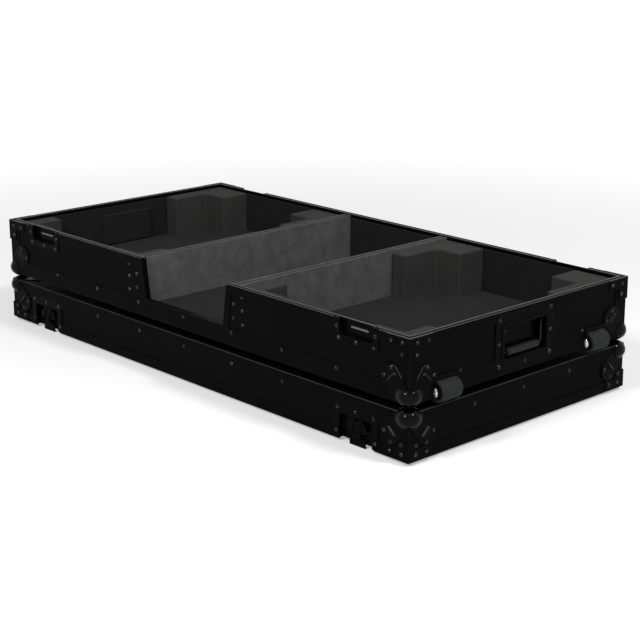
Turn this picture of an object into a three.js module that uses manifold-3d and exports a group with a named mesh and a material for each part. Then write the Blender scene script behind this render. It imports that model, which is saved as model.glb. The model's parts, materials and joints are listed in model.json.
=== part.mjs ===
// A DJ coffin case, opened for use: the base with its two deck bays and mixer bay stands
// on the upturned stack of its own lid. Millimetres, +Z up, front towards -Y.
import * as THREE from 'three';
import { mergeVertices } from 'three/addons/utils/BufferGeometryUtils.js';
import Module from 'manifold-3d';

const wasm = await Module();
wasm.setup();

// Case, over its extrusions
const caseLength = 1180;
const caseDepth = 575;
const baseHeight = 115;
const lidHeight = 84;
const plyThickness = 9.5;

// Clearances
const overrun = 5;
const fitGap = 0.3;
const turningGap = 0.6;
const stackGap = 0.3;

// Aluminium extrusions
const angleLeg = 30;
const sheet = 1.5;
const rimLeg = 17;
const rimWeb = 6;
const rimInnerLeg = 7;
const grooveOuter = 1.6;
const grooveInner = 5;
const grooveDepth = 4.5;
const tongueGap = 0.5;
const tongueHeight = 3;

// Corner clamps of the rims
const clampThickness = 2;
const clampArm = 52;
const clampArmHeight = 20;
const clampLeg = 22;
const baseClampLeg = 42;
const lidClampLeg = 33;
const clampRound = 4;

// Ball corners
const ballRadius = 21;
const ballReach = 7;
const petalRadius = 19;
const petalTip = 37;
const petalThickness = 1.6;

// Mixer opening in the front, and the bays
const openingTopWidth = 257;
const openingBottomWidth = 233;
const openingSill = 34;
const openingFlange = 14;
const mixerBayWidth = 264;
const dividerThickness = 18;
const dividerDrop = 2;
const foamThickness = 10;
const padDrop = 7;
const padSideThickness = 38;
const padFrontThickness = 28;
const padBackThickness = 72;
const padLength = 100;
const frontPadDepth = 85;
const backPadDepth = 160;
const padRound = 6;
const liningThickness = 10;

// Butterfly latches, each a dish with wing and hook on the lid and a keeper on the base
const latchFromEnd = 125;
const plateProud = 0.5;
const latchPlateWidth = 106;
const latchPlateRound = 5;
const latchPocketWidth = 80;
const latchPocketDepth = 9.3;
const latchPocketRound = 7;
const dishSheet = 1.2;
const dishPlateHeight = 64;
const dishPocketHeight = 46;
const keeperPlateHeight = 42;
const keeperPocketHeight = 29;
const keeperBarWidth = 41;
const keeperBarDrop = 8;
const keeperBarHeight = 2.5;
const keeperBarReach = 2.1;
const wingPivotHeight = 19.5;
const wingReach = 25.4;
const wingFront = 2.1;
const wingThickness = 1.8;
const wingHubRadius = 11;
const wingHubThickness = 2.4;
const wingBarrelRadius = 1.8;
const wingBarrelOffset = 9.2;
const wingBarrelLength = 24;
const pivotPinRadius = 3;
const pivotShankRadius = 2.2;
const pivotHeadRadius = 6.5;
const pivotHeadFront = 0.6;
const pivotHeadThickness = 1.2;
const camThrow = 9;
const camPinRadius = 1.5;
const camPlay = 1.3;
const hookReach = 6.5;
const hookWidth = 38;
const hookStrapWidth = 26;
const hookSheet = 2;
const hookFront = 4.7;
const hookShoulder = 7.5;
const hookNoseHeight = 2.5;
const hookTopMargin = 4;
const guideWidth = 2;
const guideHeight = 9;
const guideFoot = 14;

// Recessed sprung handles
const handlePlateWidth = 156;
const handlePlateHeight = 98;
const handlePlateFoot = 9.7;
const handlePlateRound = 9;
const handlePocketWidth = 110;
const handlePocketHeight = 57;
const handlePocketFoot = 28;
const handlePocketDepth = 16;
const handlePocketRound = 4;
const handleSheet = 1.5;
const handleBeadWidth = 5;
const handleBeadMargin = 2;
const handleBeadHeight = 1.5;
const bailRadius = 3.2;
const bailPinRadius = 2.5;
const bailKnuckleRadius = 4.4;
const bailKnuckleLength = 6.4;
const bailDrop = 41;
const bailBend = 8;
const bailPivotDepth = 8;
const bailPivotDrop = 7.3;
const bailSideGap = 0.8;
const gripRadius = 7.3;
const gripEndRadius = 6.4;
const gripLength = 76;

// Edge wheels
const wheelFromCorner = 88;
const wheelRadius = 19;
const wheelWidth = 48;
const wheelShoulder = 3;
const wheelInset = 2;
const wheelHeight = 9;
const wheelSideGap = 1;
const wheelPocketGap = 2;
const wheelHubRadius = 11;
const wheelHubDip = 1.5;
const axleRadius = 3;
const housingSheet = 1.5;
const housingFlange = 3.5;
const housingFlangeSheet = 1.2;
const housingLip = 5;
const earRadius = 15;
const earDome = 4;

// Fineness of the round shapes
const roundSteps = 2;
const petalSteps = 4;
const holeSteps = 14;
const rodSteps = 8;
const bendSteps = 4;
const earSteps = 16;
const wheelSteps = 24;
const ballRingSteps = 20;
const ballRowSteps = 10;

const halfLength = caseLength / 2;
const halfDepth = caseDepth / 2;
const shell = sheet + plyThickness;
const seam = 2 * ballReach + stackGap;
const cornerSigns = [[-1, -1], [1, -1], [1, 1], [-1, 1]];
const cornerNames = ['front_left', 'front_right', 'back_right', 'back_left'];
const quarterTurn = Math.PI / 2;

// Solids from three.js geometry

function toSolid(geometry) {
  geometry.deleteAttribute('normal');
  geometry.deleteAttribute('uv');
  const merged = mergeVertices(geometry);
  const corners = [];
  for (let at = 0; at < merged.index.count; at += 3) {
    const [a, b, c] = [merged.index.getX(at), merged.index.getX(at + 1), merged.index.getX(at + 2)];
    if (a !== b && b !== c && c !== a) corners.push(a, b, c);
  }
  return new wasm.Manifold(new wasm.Mesh({
    numProp: 3,
    vertProperties: new Float32Array(merged.attributes.position.array),
    triVerts: new Uint32Array(corners),
  }));
}

function toGeometry(solid) {
  const mesh = solid.getMesh();
  const geometry = new THREE.BufferGeometry();
  geometry.setAttribute('position', new THREE.BufferAttribute(mesh.vertProperties, 3));
  geometry.setIndex(new THREE.BufferAttribute(mesh.triVerts, 1));
  geometry.computeVertexNormals();
  return geometry;
}

function joined(solids) {
  return solids.reduce((whole, piece) => whole.add(piece));
}

function cut(solid, cutters) {
  return cutters.reduce((rest, cutter) => rest.subtract(cutter), solid);
}

function block(x0, x1, y0, y1, z0, z1) {
  const geometry = new THREE.BoxGeometry(x1 - x0, y1 - y0, z1 - z0);
  geometry.translate((x0 + x1) / 2, (y0 + y1) / 2, (z0 + z1) / 2);
  return toSolid(geometry);
}

// A flat outline drawn in X and Z, given its thickness from y0 to y1
function slab(shape, y0, y1, steps = roundSteps) {
  const geometry = new THREE.ExtrudeGeometry(shape, {
    depth: y1 - y0, bevelEnabled: false, curveSegments: steps,
  });
  geometry.rotateX(quarterTurn);
  geometry.translate(0, y1, 0);
  return toSolid(geometry);
}

// A flat outline drawn in X and Y, raised from z0 to z1
function prism(shape, z0, z1, steps = roundSteps) {
  const geometry = new THREE.ExtrudeGeometry(shape, {
    depth: z1 - z0, bevelEnabled: false, curveSegments: steps,
  });
  geometry.translate(0, 0, z0);
  return toSolid(geometry);
}

function turned(profile, steps) {
  const points = profile.map(([radius, along]) => new THREE.Vector2(radius, along));
  return toSolid(new THREE.LatheGeometry(points, steps));
}

// A round bar along Y
function pinY(radius, y0, y1, steps = holeSteps) {
  const geometry = new THREE.CylinderGeometry(radius, radius, y1 - y0, steps);
  geometry.translate(0, (y0 + y1) / 2, 0);
  return toSolid(geometry);
}

// A round bar along X
function pinX(radius, x0, x1, steps = holeSteps) {
  const geometry = new THREE.CylinderGeometry(radius, radius, x1 - x0, steps);
  geometry.rotateZ(quarterTurn);
  geometry.translate((x0 + x1) / 2, 0, 0);
  return toSolid(geometry);
}

function roundedBox(x0, x1, z0, z1, radius) {
  const shape = new THREE.Shape();
  shape.moveTo(x0 + radius, z0);
  shape.absarc(x1 - radius, z0 + radius, radius, -quarterTurn, 0);
  shape.absarc(x1 - radius, z1 - radius, radius, 0, quarterTurn);
  shape.absarc(x0 + radius, z1 - radius, radius, quarterTurn, 2 * quarterTurn);
  shape.absarc(x0 + radius, z0 + radius, radius, 2 * quarterTurn, 3 * quarterTurn);
  return shape;
}

function outline(points) {
  return new THREE.Shape(points.map(([x, y]) => new THREE.Vector2(x, y)));
}

// A round bar that follows points in the XZ plane, mitred at each of them
function bentBar(points, radius) {
  const positions = [];
  const indices = [];
  points.forEach((point, at) => {
    const before = points[Math.max(at - 1, 0)];
    const after = points[Math.min(at + 1, points.length - 1)];
    const along = after.clone().sub(before).normalize();
    const into = point === before ? along : point.clone().sub(before).normalize();
    const stretch = radius / along.dot(into);
    for (let step = 0; step < rodSteps; step += 1) {
      const angle = (2 * Math.PI * step) / rodSteps;
      const side = stretch * Math.cos(angle);
      positions.push(point.x - along.y * side, radius * Math.sin(angle), point.y + along.x * side);
    }
  });
  for (let at = 0; at < points.length - 1; at += 1) {
    for (let step = 0; step < rodSteps; step += 1) {
      const next = (step + 1) % rodSteps;
      const [a, b] = [at * rodSteps + step, at * rodSteps + next];
      indices.push(a, a + rodSteps, b + rodSteps, a, b + rodSteps, b);
    }
  }
  const last = (points.length - 1) * rodSteps;
  for (let step = 1; step < rodSteps - 1; step += 1) {
    indices.push(0, step, step + 1);
    indices.push(last, last + step + 1, last + step);
  }
  const geometry = new THREE.BufferGeometry();
  geometry.setAttribute('position', new THREE.Float32BufferAttribute(positions, 3));
  geometry.setIndex(indices);
  return toSolid(geometry);
}

// Extrusions: a profile of insets and heights, carried round the case with mitred corners

function mitredFrame(profile, level) {
  const positions = [];
  const indices = [];
  for (const [signX, signY] of cornerSigns) {
    for (const [inset, height] of profile) {
      positions.push(signX * (halfLength - inset), signY * (halfDepth - inset), level + height);
    }
  }
  const count = profile.length;
  for (let corner = 0; corner < cornerSigns.length; corner += 1) {
    const here = corner * count;
    const there = ((corner + 1) % cornerSigns.length) * count;
    for (let point = 0; point < count; point += 1) {
      const next = (point + 1) % count;
      indices.push(here + point, here + next, there + next, here + point, there + next, there + point);
    }
  }
  const geometry = new THREE.BufferGeometry();
  geometry.setAttribute('position', new THREE.Float32BufferAttribute(positions, 3));
  geometry.setIndex(indices);
  return toSolid(geometry);
}

// Moves a solid made for a corner at the origin, inward to +X and +Y, to one of the four corners
function atCorner(solid, [signX, signY], level) {
  let placed = solid;
  if (signX > 0) placed = placed.mirror([1, 0, 0]);
  if (signY > 0) placed = placed.mirror([0, 1, 0]);
  return placed.translate([signX * halfLength, signY * halfDepth, level]);
}

function cornerAngle(z0, z1) {
  const section = outline([
    [0, 0], [angleLeg, 0], [angleLeg, sheet], [sheet, sheet], [sheet, angleLeg], [0, angleLeg],
  ]);
  return prism(section, z0, z1);
}

// The pressed clamp that holds a rim's mitre: an arm along the rim and a leg down the corner
function cornerClamp(legHeight) {
  const shape = new THREE.Shape();
  shape.moveTo(-clampThickness, 0);
  shape.lineTo(-clampThickness, -legHeight);
  shape.lineTo(clampLeg - clampRound, -legHeight);
  shape.absarc(clampLeg - clampRound, clampRound - legHeight, clampRound, -quarterTurn, 0);
  const [filletX, filletZ] = [clampLeg + clampRound, -clampArmHeight - clampRound];
  shape.lineTo(clampLeg, filletZ);
  shape.absarc(filletX, filletZ, clampRound, 2 * quarterTurn, quarterTurn, true);
  shape.lineTo(clampArm - clampRound, -clampArmHeight);
  shape.absarc(clampArm - clampRound, clampRound - clampArmHeight, clampRound, -quarterTurn, 0);
  shape.lineTo(clampArm, 0);
  const face = slab(shape, -clampThickness, 0);
  return face.add(face.mirror([1, -1, 0]));
}

// The corner of the ply and extrusions that makes room for a ball corner's body
function cornerCube(size) {
  return block(-overrun, size, -overrun, size, -overrun, size);
}

function cutCorners(solid, level, upward) {
  const cube = upward ? cornerCube(shell) : cornerCube(shell).mirror([0, 0, 1]);
  return cut(solid, cornerSigns.map((signs) => atCorner(cube, signs, level)));
}

// The room that a latch plate and its pocket need in rim and panel, rim at z = 0 and case upward
function latchCutter(plateHeight, pocketHeight) {
  const halfPlate = latchPlateWidth / 2 + fitGap;
  const halfPocket = latchPocketWidth / 2 + dishSheet + fitGap;
  const plate = block(-halfPlate, halfPlate, -overrun, sheet, -overrun, plateHeight + fitGap);
  const pocketTop = pocketHeight + dishSheet + fitGap;
  const pocket = block(-halfPocket, halfPocket, -overrun, shell, -overrun, pocketTop);
  return plate.add(pocket);
}

// The four places of the latches: X, Y and the turn that brings local +Y inward
const latchX = halfLength - latchFromEnd;
const latchPlaces = [
  ['front_left', -latchX, -halfDepth, 0],
  ['front_right', latchX, -halfDepth, 0],
  ['back_right', latchX, halfDepth, 2 * quarterTurn],
  ['back_left', -latchX, halfDepth, 2 * quarterTurn],
];

function placedLatchCutters(cutter, level) {
  return latchPlaces.map(([, x, y, turn]) => (
    cutter.rotate([0, 0, THREE.MathUtils.radToDeg(turn)]).translate([x, y, level])
  ));
}

const handlePlaces = [
  ['left', -halfLength, -quarterTurn],
  ['right', halfLength, quarterTurn],
];

// The room for a handle's plate and pocket, in the base's own height. The plate's room is a
// sheet deep, and deeper in a frame, so that no skin of its leg stays behind
function handleCutters(plateDepth = sheet) {
  const halfPlate = handlePlateWidth / 2 + fitGap;
  const plateTop = handlePlateFoot + handlePlateHeight + fitGap;
  const plate = block(-halfPlate, halfPlate, -overrun, plateDepth, handlePlateFoot - fitGap, plateTop);
  const halfPocket = handlePocketWidth / 2 + handleSheet + turningGap;
  const wall = handleSheet + fitGap;
  const pocket = block(
    -halfPocket, halfPocket, -overrun, shell + overrun,
    handlePocketFoot - wall, handlePocketFoot + handlePocketHeight + wall,
  );
  const cutter = plate.add(pocket);
  return handlePlaces.map(([, x, turn]) => (
    cutter.rotate([0, 0, THREE.MathUtils.radToDeg(turn)]).translate([x, 0, 0])
  ));
}

const wheelPlaces = [
  ['front', wheelFromCorner - halfDepth],
  ['back', halfDepth - wheelFromCorner],
];
const wheelX = halfLength - wheelInset;
const pocketRadius = wheelRadius + wheelPocketGap;
const cheekInner = wheelWidth / 2 + wheelSideGap;
const cheekOuter = cheekInner + housingSheet;

// The room for the two wheel housings, in the base's own height
function wheelCutters() {
  const reach = pocketRadius + housingSheet + fitGap;
  return wheelPlaces.map(([, y]) => block(
    wheelX - reach, halfLength + overrun,
    y - cheekOuter - fitGap, y + cheekOuter + fitGap,
    -overrun, wheelHeight + reach,
  ));
}

// The mixer opening: a trapezium that is open at the rim, grown by a margin all round
function openingShape(margin) {
  const [low, high] = [openingSill - margin, baseHeight + overrun];
  const slope = (openingTopWidth - openingBottomWidth) / 2 / (baseHeight - openingSill);
  const half = openingBottomWidth / 2 + margin;
  const lowHalf = half - slope * margin;
  const highHalf = half + slope * (high - openingSill);
  return outline([[-lowHalf, low], [lowHalf, low], [highHalf, high], [-highHalf, high]]);
}

function openingTrim() {
  const face = slab(openingShape(openingFlange), 0, sheet);
  const lining = slab(openingShape(sheet), 0, shell + sheet);
  const clear = slab(openingShape(0), -overrun, shell + overrun);
  const [outside, inside] = [-overrun, shell + overrun];
  const aboveRim = block(-halfLength, halfLength, outside, inside, baseHeight, baseHeight + 2 * overrun);
  return cut(face.add(lining), [clear, aboveRim]).translate([0, -halfDepth, 0]);
}

function baseFrame() {
  const foot = [[0, 0], [angleLeg, 0], [angleLeg, sheet], [sheet, sheet], [sheet, angleLeg], [0, angleLeg]];
  const rim = [
    [0, -rimLeg], [sheet, -rimLeg], [sheet, -rimWeb], [shell, -rimWeb], [shell, -rimInnerLeg],
    [shell + sheet, -rimInnerLeg], [shell + sheet, 0], [grooveInner, 0], [grooveInner, -grooveDepth],
    [grooveOuter, -grooveDepth], [grooveOuter, 0], [0, 0],
  ];
  const bars = [mitredFrame(foot, 0), mitredFrame(rim, baseHeight)];
  const angle = cornerAngle(0, baseHeight - rimWeb);
  for (const signs of cornerSigns) bars.push(atCorner(angle, signs, 0));
  let frame = cutCorners(joined(bars), 0, true);
  const opening = slab(openingShape(0), -overrun, shell + overrun).translate([0, -halfDepth, 0]);
  const keeperRoom = latchCutter(keeperPlateHeight, keeperPocketHeight).mirror([0, 0, 1]);
  frame = cut(frame, [opening, ...placedLatchCutters(keeperRoom, baseHeight)]);
  frame = cut(frame, [...handleCutters(sheet + overrun), ...wheelCutters()]).add(openingTrim());
  const clamps = cornerSigns.map((signs) => atCorner(cornerClamp(baseClampLeg), signs, baseHeight));
  return joined([frame, ...clamps]);
}

function lidFrame() {
  const top = [
    [0, -angleLeg], [sheet, -angleLeg], [sheet, -sheet], [angleLeg, -sheet], [angleLeg, 0], [0, 0],
  ];
  const tongueOuter = grooveOuter + tongueGap;
  const tongueInner = grooveInner - tongueGap;
  const rim = [
    [0, 0], [tongueOuter, 0], [tongueOuter, -tongueHeight], [tongueInner, -tongueHeight],
    [tongueInner, 0], [shell + sheet, 0], [shell + sheet, rimInnerLeg], [shell, rimInnerLeg],
    [shell, sheet], [sheet, sheet], [sheet, rimLeg], [0, rimLeg],
  ];
  const bars = [mitredFrame(top, lidHeight), mitredFrame(rim, 0)];
  const angle = cornerAngle(sheet, lidHeight);
  for (const signs of cornerSigns) bars.push(atCorner(angle, signs, 0));
  let frame = cutCorners(joined(bars), lidHeight, false);
  const dishRoom = latchCutter(dishPlateHeight, dishPocketHeight);
  frame = cut(frame, placedLatchCutters(dishRoom, 0));
  const clamp = cornerClamp(lidClampLeg).mirror([0, 0, 1]);
  return joined([frame, ...cornerSigns.map((signs) => atCorner(clamp, signs, 0))]);
}

// Plywood panels: front and back run the full length, the ends fit between them

function wallPanels(z0, z1) {
  const [outX, outY] = [halfLength - sheet, halfDepth - sheet];
  const [inX, inY] = [halfLength - shell, halfDepth - shell];
  return {
    front: block(-outX, outX, -outY, -inY, z0, z1),
    back: block(-outX, outX, inY, outY, z0, z1),
    left: block(-outX, -inX, -inY, inY, z0, z1),
    right: block(inX, outX, -inY, inY, z0, z1),
  };
}

function sheetPanel(z0, z1) {
  const [outX, outY] = [halfLength - sheet, halfDepth - sheet];
  return block(-outX, outX, -outY, outY, z0, z1);
}

function basePanels() {
  const panels = wallPanels(sheet + plyThickness, baseHeight - rimWeb);
  const keeperRoom = latchCutter(keeperPlateHeight, keeperPocketHeight).mirror([0, 0, 1]);
  const keeperCutters = placedLatchCutters(keeperRoom, baseHeight);
  const openingRoom = openingShape(sheet + fitGap);
  const opening = slab(openingRoom, -overrun, shell + overrun).translate([0, -halfDepth, 0]);
  panels.front = cut(panels.front, [opening, ...keeperCutters]);
  panels.back = cut(panels.back, keeperCutters);
  for (const side of ['left', 'right']) panels[side] = cut(panels[side], handleCutters());
  panels.right = cut(panels.right, wheelCutters());
  panels.floor = cut(sheetPanel(sheet, sheet + plyThickness), wheelCutters());
  for (const side of Object.keys(panels)) panels[side] = cutCorners(panels[side], 0, true);
  return panels;
}

function lidPanels() {
  const panels = wallPanels(sheet, lidHeight - sheet - plyThickness);
  const dishCutters = placedLatchCutters(latchCutter(dishPlateHeight, dishPocketHeight), 0);
  panels.front = cut(panels.front, dishCutters);
  panels.back = cut(panels.back, dishCutters);
  panels.top = sheetPanel(lidHeight - sheet - plyThickness, lidHeight - sheet);
  for (const side of Object.keys(panels)) panels[side] = cutCorners(panels[side], lidHeight, false);
  return panels;
}

// A pressed ball corner: the ball over the corner, and a round-ended petal on each face
function ballCorner() {
  const inset = ballRadius - ballReach;
  const ballShape = new THREE.SphereGeometry(ballRadius, ballRingSteps, ballRowSteps);
  ballShape.translate(inset, inset, inset);
  const ball = toSolid(ballShape);
  const inCase = block(0, caseDepth, 0, caseDepth, 0, caseDepth);
  const kept = inCase.subtract(cornerCube(shell - fitGap));
  const petalShape = new THREE.Shape();
  petalShape.absarc(petalTip, petalTip, petalRadius, -quarterTurn / 2, 3 * quarterTurn / 2);
  petalShape.absarc(petalThickness, petalThickness, petalRadius, 3 * quarterTurn / 2, 7 * quarterTurn / 2);
  const reach = petalTip + petalRadius;
  const petal = prism(petalShape, -petalThickness, 0, petalSteps).intersect(block(
    -petalThickness, reach, -petalThickness, reach, -petalThickness, 0,
  ));
  const petals = joined([petal, petal.mirror([1, 0, -1]), petal.mirror([0, 1, -1])]);
  return ball.add(petals.subtract(cornerCube(inset))).subtract(kept);
}

// Butterfly latch, drawn with X along the rim, +Y inward, rim at z = 0 and the lid upward

function pocketedPlate(plateHeight, pocketHeight) {
  const halfPlate = latchPlateWidth / 2;
  const half = latchPocketWidth / 2;
  const plate = slab(roundedBox(-halfPlate, halfPlate, 0, plateHeight, latchPlateRound), -plateProud, sheet);
  const outer = roundedBox(
    -half - dishSheet, half + dishSheet, -overrun, pocketHeight + dishSheet, latchPocketRound + dishSheet,
  );
  const inner = roundedBox(-half, half, -overrun - latchPocketRound, pocketHeight, latchPocketRound);
  const back = latchPocketDepth + dishSheet;
  const belowRim = block(-halfPlate, halfPlate, -overrun, back + overrun, -plateHeight, 0);
  const shellSolid = plate.add(slab(outer, -plateProud, back));
  return cut(shellSolid, [slab(inner, -overrun, latchPocketDepth), belowRim]);
}

function latchDish() {
  const body = pocketedPlate(dishPlateHeight, dishPocketHeight);
  const headBack = pivotHeadFront + pivotHeadThickness;
  const wingBack = wingFront + wingThickness + wingHubThickness;
  const pin = joined([
    pinY(pivotHeadRadius, pivotHeadFront, headBack),
    pinY(pivotPinRadius, headBack, wingBack - fitGap, rodSteps),
    pinY(pivotShankRadius, wingBack - fitGap, latchPocketDepth, rodSteps),
  ]).translate([0, 0, wingPivotHeight]);
  const guideInner = hookStrapWidth / 2 + turningGap;
  const guideFront = hookFront + hookSheet + fitGap;
  const guideTop = guideFoot + guideHeight;
  const guides = [-1, 1].map((side) => {
    const [near, far] = [side * guideInner, side * (guideInner + guideWidth)];
    return block(Math.min(near, far), Math.max(near, far), guideFront, latchPocketDepth, guideFoot, guideTop);
  });
  return joined([body, pin, ...guides]);
}

// Half of the butterfly's outline in shares of its reach, from the lower middle to the notch
const wingOutlineShares = [
  [0.0, -0.4], [0.38, -0.38], [0.45, -0.02], [0.62, 0.04], [0.9, 0.06], [0.98, 0.12],
  [0.96, 0.28], [0.86, 0.48], [0.7, 0.69], [0.46, 0.86], [0.26, 0.94], [0.12, 0.84], [0.0, 0.56],
];

function latchWing() {
  const right = wingOutlineShares.map(([x, z]) => new THREE.Vector2(x * wingReach, z * wingReach));
  const left = right.slice(1, -1).reverse().map((point) => new THREE.Vector2(-point.x, point.y));
  const back = wingFront + wingThickness;
  const hubBack = back + wingHubThickness;
  const blade = slab(new THREE.Shape([...right, ...left]), wingFront, back);
  const hub = pinY(wingHubRadius, wingFront, hubBack);
  const camPin = pinY(camPinRadius, hubBack - fitGap, hubBack + hookSheet, rodSteps);
  const barrels = [-1, 1].map((side) => {
    const barrel = new THREE.CylinderGeometry(wingBarrelRadius, wingBarrelRadius, wingBarrelLength, rodSteps);
    barrel.rotateX(quarterTurn);
    barrel.translate(side * wingBarrelOffset, wingFront, wingBarrelLength / 2 - wingHubRadius / 2);
    return toSolid(barrel);
  });
  const bore = pinY(pivotPinRadius + fitGap, -overrun, hubBack + overrun, rodSteps);
  const solid = joined([blade, hub, ...barrels]).subtract(bore);
  return solid.add(camPin.translate([0, 0, camThrow / 2]));
}

function latchHook() {
  const strapFront = hookFront + hookSheet + fitGap;
  const strapBack = strapFront + hookSheet;
  const top = wingPivotHeight + camThrow + pivotShankRadius + turningGap + hookTopMargin;
  const side = outline([
    [hookFront, -hookReach], [strapBack, -hookReach], [strapBack, hookNoseHeight - hookReach],
    [hookFront + hookSheet, hookNoseHeight - hookReach],
    [hookFront + hookSheet, hookShoulder - hookSheet], [strapBack, hookShoulder - hookSheet],
    [strapBack, top], [strapFront, top], [strapFront, hookShoulder], [hookFront, hookShoulder],
  ]);
  const geometry = new THREE.ExtrudeGeometry(side, { depth: hookWidth, bevelEnabled: false });
  geometry.rotateX(quarterTurn);
  geometry.rotateZ(quarterTurn);
  geometry.translate(-hookWidth / 2, 0, 0);
  const plate = toSolid(geometry);
  const slotHalf = pivotShankRadius + turningGap;
  const slotFoot = wingPivotHeight - slotHalf;
  const camHalf = camThrow / 2 + camPinRadius + turningGap;
  const camLevel = wingPivotHeight + camThrow / 2;
  const camHeight = camPinRadius + camPlay;
  const strapHalf = hookStrapWidth / 2;
  return cut(plate, [
    block(-hookWidth, -strapHalf, 0, latchPocketDepth, hookShoulder, top + overrun),
    block(strapHalf, hookWidth, 0, latchPocketDepth, hookShoulder, top + overrun),
    block(-slotHalf, slotHalf, 0, latchPocketDepth, slotFoot, slotFoot + camThrow + 2 * slotHalf),
    block(-camHalf, camHalf, 0, latchPocketDepth, camLevel - camHeight, camLevel + camHeight),
  ]);
}

function latchKeeper() {
  const body = pocketedPlate(keeperPlateHeight, keeperPocketHeight);
  const half = keeperBarWidth / 2;
  const front = latchPocketDepth - keeperBarReach;
  const bar = block(-half, half, front, latchPocketDepth, keeperBarDrop, keeperBarDrop + keeperBarHeight);
  return body.add(bar).mirror([0, 0, 1]);
}

// Recessed handle, drawn with X along the case's end, +Y inward and the base's own height

const bailPivotHeight = handlePocketFoot + handlePocketHeight - bailPivotDrop;

function handleDish() {
  const halfPlate = handlePlateWidth / 2;
  const half = handlePocketWidth / 2;
  const pocketTop = handlePocketFoot + handlePocketHeight;
  const plate = slab(roundedBox(
    -halfPlate, halfPlate, handlePlateFoot, handlePlateFoot + handlePlateHeight, handlePlateRound,
  ), -plateProud, sheet);
  const around = (margin) => roundedBox(
    -half - margin, half + margin, handlePocketFoot - margin, pocketTop + margin, handlePocketRound + margin,
  );
  const pocket = slab(around(handleSheet), -plateProud, handlePocketDepth + handleSheet);
  const bead = slab(around(handleBeadMargin + handleBeadWidth), -plateProud - handleBeadHeight, sheet);
  const beadInner = slab(around(handleBeadMargin), -overrun, -plateProud);
  const room = slab(around(0), -overrun, handlePocketDepth);
  const bore = pinX(bailPinRadius + fitGap, -halfPlate, halfPlate, rodSteps);
  return cut(joined([plate, pocket, bead]), [
    beadInner, room, bore.translate([0, bailPivotDepth, bailPivotHeight]),
  ]);
}

// The bail hangs from its two pins, which lie on the hinge axis at the origin
function handleBail() {
  const armX = handlePocketWidth / 2 - bailSideGap - bailRadius;
  const points = [];
  points.push(new THREE.Vector2(-armX, 0));
  for (let step = 0; step <= bendSteps; step += 1) {
    const angle = 2 * quarterTurn + (quarterTurn * step) / bendSteps;
    points.push(new THREE.Vector2(
      bailBend - armX + bailBend * Math.cos(angle), bailBend - bailDrop + bailBend * Math.sin(angle),
    ));
  }
  const mirrored = points.map((point) => new THREE.Vector2(-point.x, point.y)).reverse();
  const bar = bentBar([...points, ...mirrored], bailRadius);
  const pinEnd = handlePocketWidth / 2 + handleSheet;
  const ends = [-1, 1].map((side) => {
    const middle = side * armX;
    const [near, far] = [middle - bailKnuckleLength / 2, middle + bailKnuckleLength / 2];
    const [pinStart, pinStop] = side < 0 ? [-pinEnd, middle] : [middle, pinEnd];
    return pinX(bailKnuckleRadius, near, far).add(pinX(bailPinRadius, pinStart, pinStop, rodSteps));
  });
  return joined([bar, ...ends]);
}

function handleGrip() {
  const half = gripLength / 2;
  const bore = bailRadius + fitGap;
  const profile = [
    [bore, -half], [gripEndRadius, -half], [gripRadius, -half / 2], [gripRadius, half / 2],
    [gripEndRadius, half], [bore, half], [bore, -half],
  ];
  const steps = 2 * rodSteps;
  return turned(profile, steps).rotate([0, 0, 90]);
}

// Edge wheel and its housing, drawn round the axle: +X outward, Y along the axle

function wheel() {
  const half = wheelWidth / 2;
  const bore = axleRadius + fitGap;
  const tread = wheelRadius - wheelShoulder;
  const profile = [
    [bore, wheelHubDip - half], [wheelHubRadius, wheelHubDip - half], [wheelHubRadius, -half], [tread, -half],
    [wheelRadius, wheelShoulder - half], [wheelRadius, half - wheelShoulder], [tread, half],
    [wheelHubRadius, half], [wheelHubRadius, half - wheelHubDip], [bore, half - wheelHubDip],
    [bore, wheelHubDip - half],
  ];
  return turned(profile, wheelSteps);
}

function wheelHousing() {
  const wall = pocketRadius + housingSheet;
  const flangeHalf = cheekOuter + housingFlange;
  const [faceX, footZ] = [wheelInset, -wheelHeight];
  const face = faceX + housingFlangeSheet;
  const foot = footZ - housingFlangeSheet;
  const body = joined([
    block(-wall, face, -cheekOuter, cheekOuter, foot, wall),
    block(faceX, face, -flangeHalf, flangeHalf, foot, wall + housingLip),
    block(-wall - housingLip, face, -flangeHalf, flangeHalf, foot, footZ),
  ]);
  const inside = block(-pocketRadius, wheelRadius, -cheekInner, cheekInner, -wheelRadius, pocketRadius);
  const domeRise = (earRadius ** 2 - earDome ** 2) / 2 / earDome;
  const domeRadius = domeRise + earDome;
  const domePoints = [[0, cheekInner], [earRadius, cheekInner], [earRadius, cheekOuter]];
  for (let step = 1; step <= bendSteps; step += 1) {
    const angle = Math.asin(earRadius / domeRadius) * (1 - step / bendSteps);
    domePoints.push([domeRadius * Math.sin(angle), cheekOuter - domeRise + domeRadius * Math.cos(angle)]);
  }
  const ear = turned(domePoints, earSteps);
  const outside = block(face, wheelRadius, -wheelWidth, wheelWidth, foot, earRadius);
  const ears = ear.add(ear.mirror([0, 1, 0])).intersect(outside.add(
    block(-overrun, face, -cheekOuter, cheekOuter, foot, earRadius),
  ));
  const axle = pinY(axleRadius, -cheekOuter, cheekOuter);
  return body.subtract(inside).add(ears).add(axle);
}

// Foam: L-shaped corner pads that hold each deck, and the floor foam of the three bays

const bayInner = halfLength - shell;
const bayDepth = halfDepth - shell;
const dividerInner = mixerBayWidth / 2;
const dividerOuter = dividerInner + dividerThickness;
const floorTop = sheet + plyThickness;
const foamTop = floorTop + foamThickness;
const bays = [
  ['left_bay', -bayInner, -dividerOuter],
  ['mixer_bay', -dividerInner, dividerInner],
  ['right_bay', dividerOuter, bayInner],
];

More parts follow.
